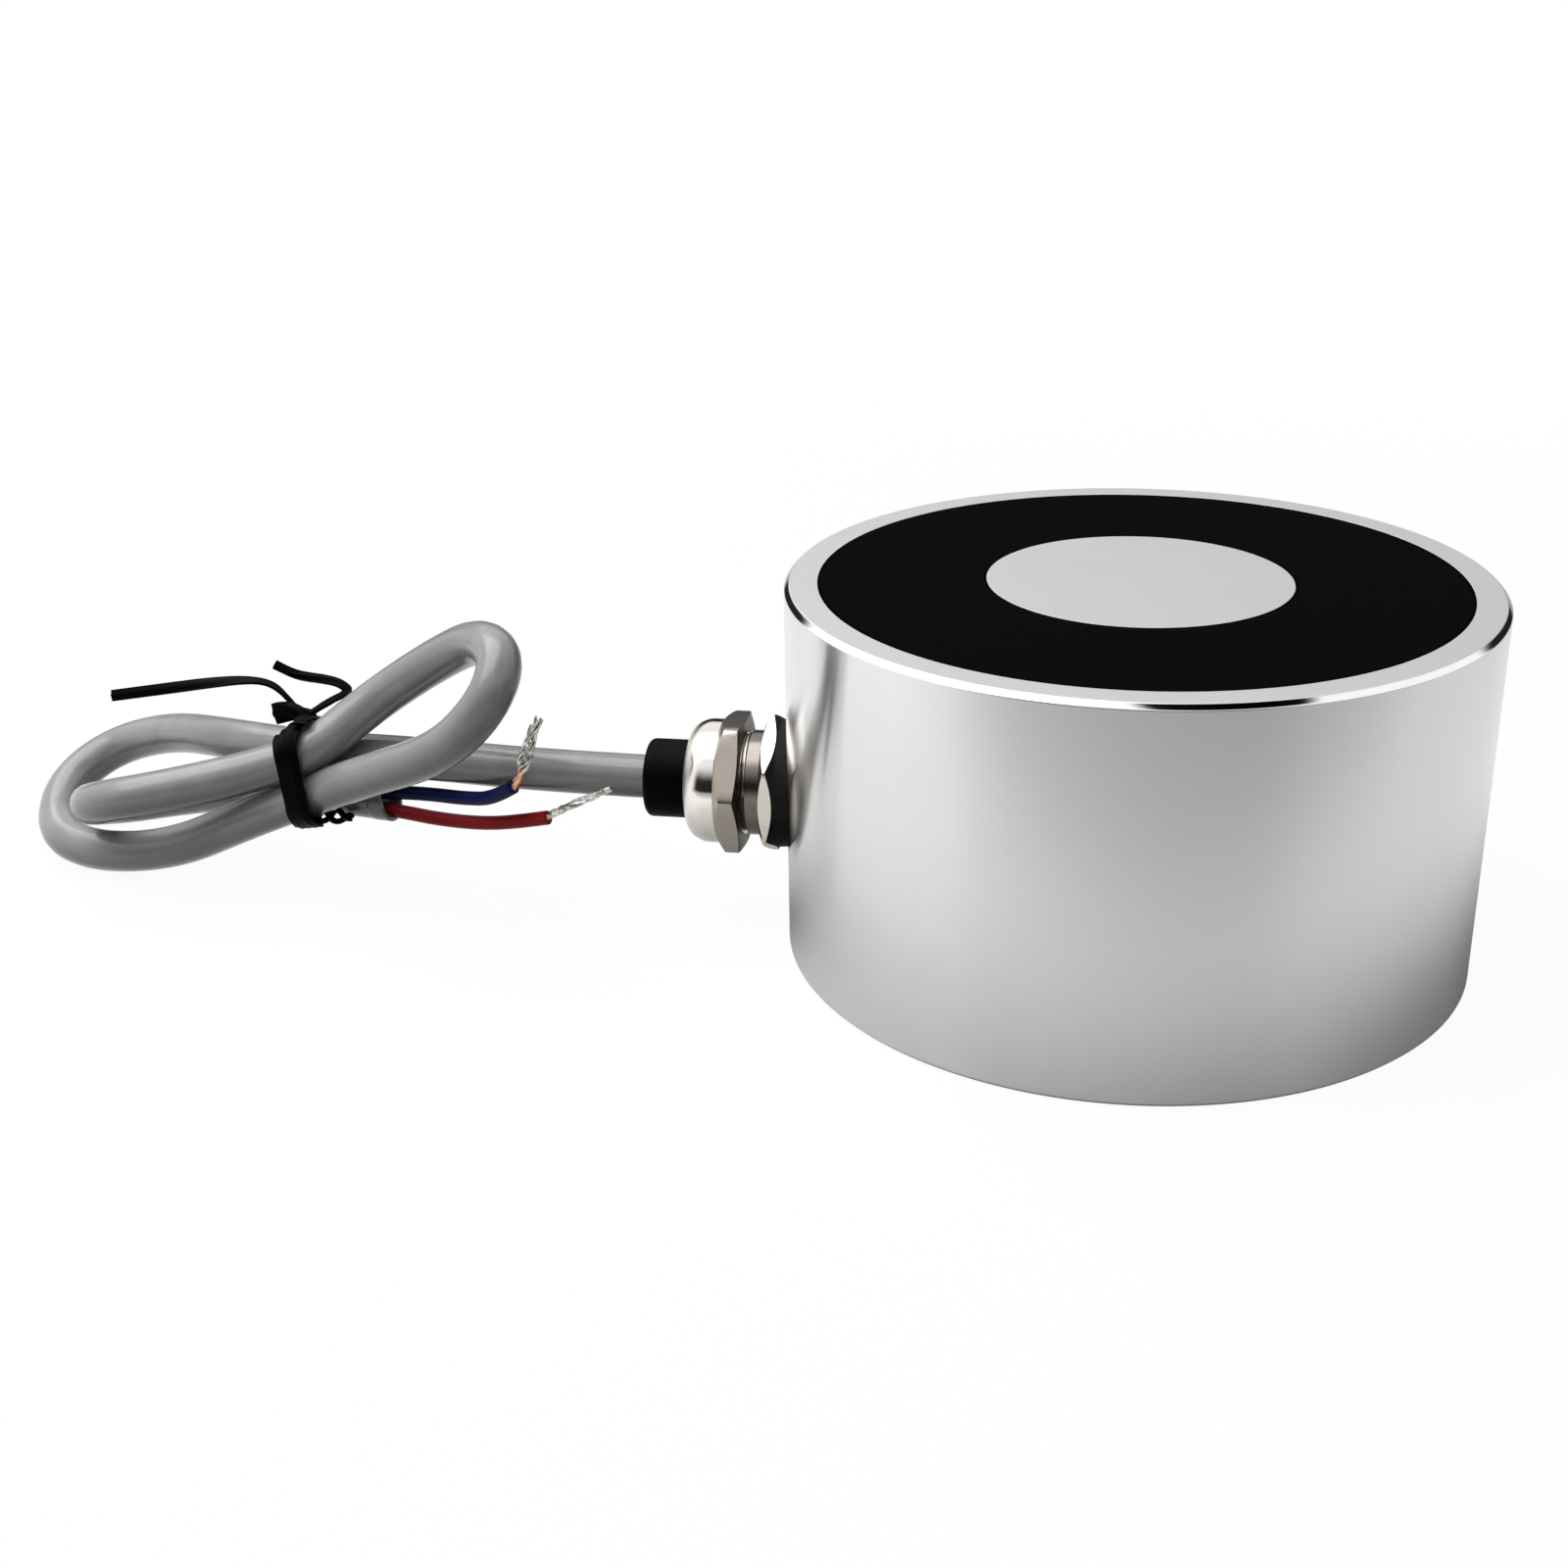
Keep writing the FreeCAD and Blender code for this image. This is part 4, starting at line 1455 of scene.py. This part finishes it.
# Painted shade: the neck's faces get the darker copy of the plate.
second_finish(gland_body, neck_painted_shade_finish, lambda face: face.center.x < -(BODY_END + 0.01) * MM)
# Painted shade: the faces beyond the neck, the fine thread's root and the bores, get the near-black plate.
second_finish(gland_body, recess_shade_finish, lambda face: face.center.x < -NECK_END * MM)
gland_thread = thread_piece(
    "gland_fine_thread", 35.35, 36.6, pitch=0.5,
    foot=FINE_ROOT - 0.03, crest=NECK_RADIUS - 0.02, place=on_gland(), steps=72,
)
dressed(gland_thread, body_finish, "nickel_plate")
print("gland body:", len(gland_body.data.polygons), "faces")

# %% [markdown]
# Between the hexagon and the cup lies a black rubber seal. A flat washer would be simpler, but the rubber
# is squeezed out round the hexagon's cone, so its outside follows that cone.

# %% Seal
SEAL_BORE = 5.02


def seal_outline(angle):
    radius = hex_radius(angle)
    edge = cone_place(BODY_START, BODY_CONE, radius)
    return softened([
        (SEAT, SEAL_BORE, 0),
        (SEAT, HEX_FACE - 0.05, 0.05),
        (BODY_START, HEX_FACE + 0.05, 0.1),
        (edge - 0.04, radius + 0.02, 0.03),
        (edge + 0.02, radius - 0.07, 0),
        (BODY_START + 0.2, HEX_FACE - 0.15, 0),
        (BODY_START + 0.2, SEAL_BORE, 0),
    ], 3)


gland_seal = ring_piece("gland_seal_ring", seal_outline, HEX_ANGLES, on_gland(BODY_CORNER), 40)
dressed(gland_seal, seal_finish, "black_rubber", "gland_gasket")
print("seal:", len(gland_seal.data.polygons), "faces")

# %% [markdown]
# ## Dome nut
#
# The nut squeezes the bush on the cable. Its hexagon has a small bevel towards the cup and a wide one
# towards the dome, and the dome is a quarter of an ellipse that ends in a round mouth. A sphere cut off at
# both ends would be too plump, so the ellipse's own formula gives the dome's points, after the hexagon's in
# the same outline.

# %% Dome nut
NUT_CUP_BEVEL = 0.25
NUT_DOME_BEVEL = 0.75
NUT_CORNER = 5.0
NUT_BORE = 4.75
COLLAR_SHOULDER = 39.8
DOME_RADIUS = 5.95
DOME_CURVE = 39.0
DOME_MOUTH = 4.0
DOME_STEPS = 14


def nut_outline(angle):
    radius = hex_radius(angle)
    outline = softened([
        (COLLAR_SHOULDER, BUSH_BORE, 0),
        (COLLAR_SHOULDER, NUT_BORE, 0),
        (NUT_START, NUT_BORE, 0.05),
        (NUT_START, HEX_FACE, 0.04),
        (cone_place(NUT_START, NUT_CUP_BEVEL, radius), radius, 0.04),
        (cone_place(NUT_END, -NUT_DOME_BEVEL, radius), radius, 0.03),
        (NUT_END, HEX_FACE, 0),
        (NUT_END + 0.04, DOME_RADIUS, 0),
        (DOME_CURVE, DOME_RADIUS, 0),
    ], 3)
    for k in range(1, DOME_STEPS + 1):
        bend = math.pi / 2 * k / DOME_STEPS
        along = DOME_CURVE + (DOME_END - DOME_CURVE) * math.sin(bend)
        outline.append((along, DOME_MOUTH + (DOME_RADIUS - DOME_MOUTH) * math.cos(bend)))
    return outline + [(DOME_END - 0.02, BUSH_BORE + 0.08), (DOME_END - 0.12, BUSH_BORE)]


dome_nut = ring_piece("gland_nut_and_dome", nut_outline, HEX_ANGLES, on_gland(NUT_CORNER), 24)
dressed(dome_nut, nut_finish, "nickel_plate", "gland_dome_nut")
# Painted shade: the nut's faces towards the cup get the near-black plate.
second_finish(dome_nut, recess_shade_finish, lambda face: face.normal.x > 0.3)
print("dome nut:", len(dome_nut.data.polygons), "faces")

# %% [markdown]
# ## Rubber bush
#
# The bush is a black rubber sleeve that seals the cable, and its end stands out of the dome. Moulded rubber
# has a soft, wide rounding at its end, so this outline gets more steps there than the metal ones. It starts
# just clear of the step in the body that it is pressed against.

# %% Rubber bush
BUSH_RADIUS = 3.75
BUSH_HOLE = 2.14
bush_outline = softened([
    (BUSH_START + 0.1, BUSH_HOLE, 0),
    (BUSH_START + 0.1, BUSH_RADIUS, 0),
    (BUSH_END, BUSH_RADIUS, 0.7),
    (BUSH_END, BUSH_HOLE + 0.16, 0.2),
    (BUSH_END - 0.5, BUSH_HOLE, 0),
], 10)
bush = turned_piece("gland_rubber_bush", bush_outline, 96, on_gland())
dressed(bush, bush_finish, "black_rubber", "gland_seal_bush")
print("bush:", len(bush.data.polygons), "faces")

# %% [markdown]
# ## Pieces inside the cup
#
# Under the resin sit the bobbin, the winding, its tape, and the splices to the lead's cores. They only show
# when the part is cut open, but they should not be blank then. Hundreds of turns of wire would be a heavy
# mesh that nobody sees, so the winding's solid gets the fine lines of its turns as a finish.

# %% Inside finishes
TURN_SPACING = 1 / 2.2


def wound_copper(name):
    """Enamelled wire, with fine lines round the upright axis."""
    made, tree = new_finish(name)
    _, (x, y, z) = place_on(tree)
    turns = noise(tree, joined(tree, x * 0.2, y * 0.2, z / TURN_SPACING), 1.0, 2.0, 0.5)
    surfaced(
        tree,
        Base__Color=mixed(tree, turns, (0.34, 0.11, 0.04), (0.66, 0.3, 0.14)),
        Metallic=0.85,
        Roughness=0.22 + 0.2 * turns,
        Normal=bumped(tree, turns, 0.05),
    )
    return made


copper_finish = wound_copper("enamelled_copper")
nylon_finish = plastic_finish(
    "bobbin_nylon", (0.62, 0.6, 0.52), (0.8, 0.78, 0.7),
    roughness=0.45, grain=0.5, depth=0.01,
)
tape_finish = plastic_finish(
    "coil_tape", (0.5, 0.33, 0.03), (0.75, 0.55, 0.08),
    roughness=0.3, grain=0.6, depth=0.008,
)
sleeve_finish = plastic_finish(
    "shrink_sleeve", (0.006, 0.006, 0.006), (0.014, 0.014, 0.014),
    roughness=0.4, grain=0.3, depth=0.01,
)
INSIDE = {
    "coil_bobbin": nylon_finish,
    "coil_winding": copper_finish,
    "coil_lead_start": copper_finish,
    "coil_lead_finish": copper_finish,
    "coil_tape": tape_finish,
    "splice_sleeve_red": sleeve_finish,
    "splice_sleeve_blue": sleeve_finish,
    "inner_red_core": red_finish,
    "inner_blue_core": blue_finish,
}
for node, finish in INSIDE.items():
    finish_solid(node, finish)
print("inside:", len(INSIDE), "solids finished")
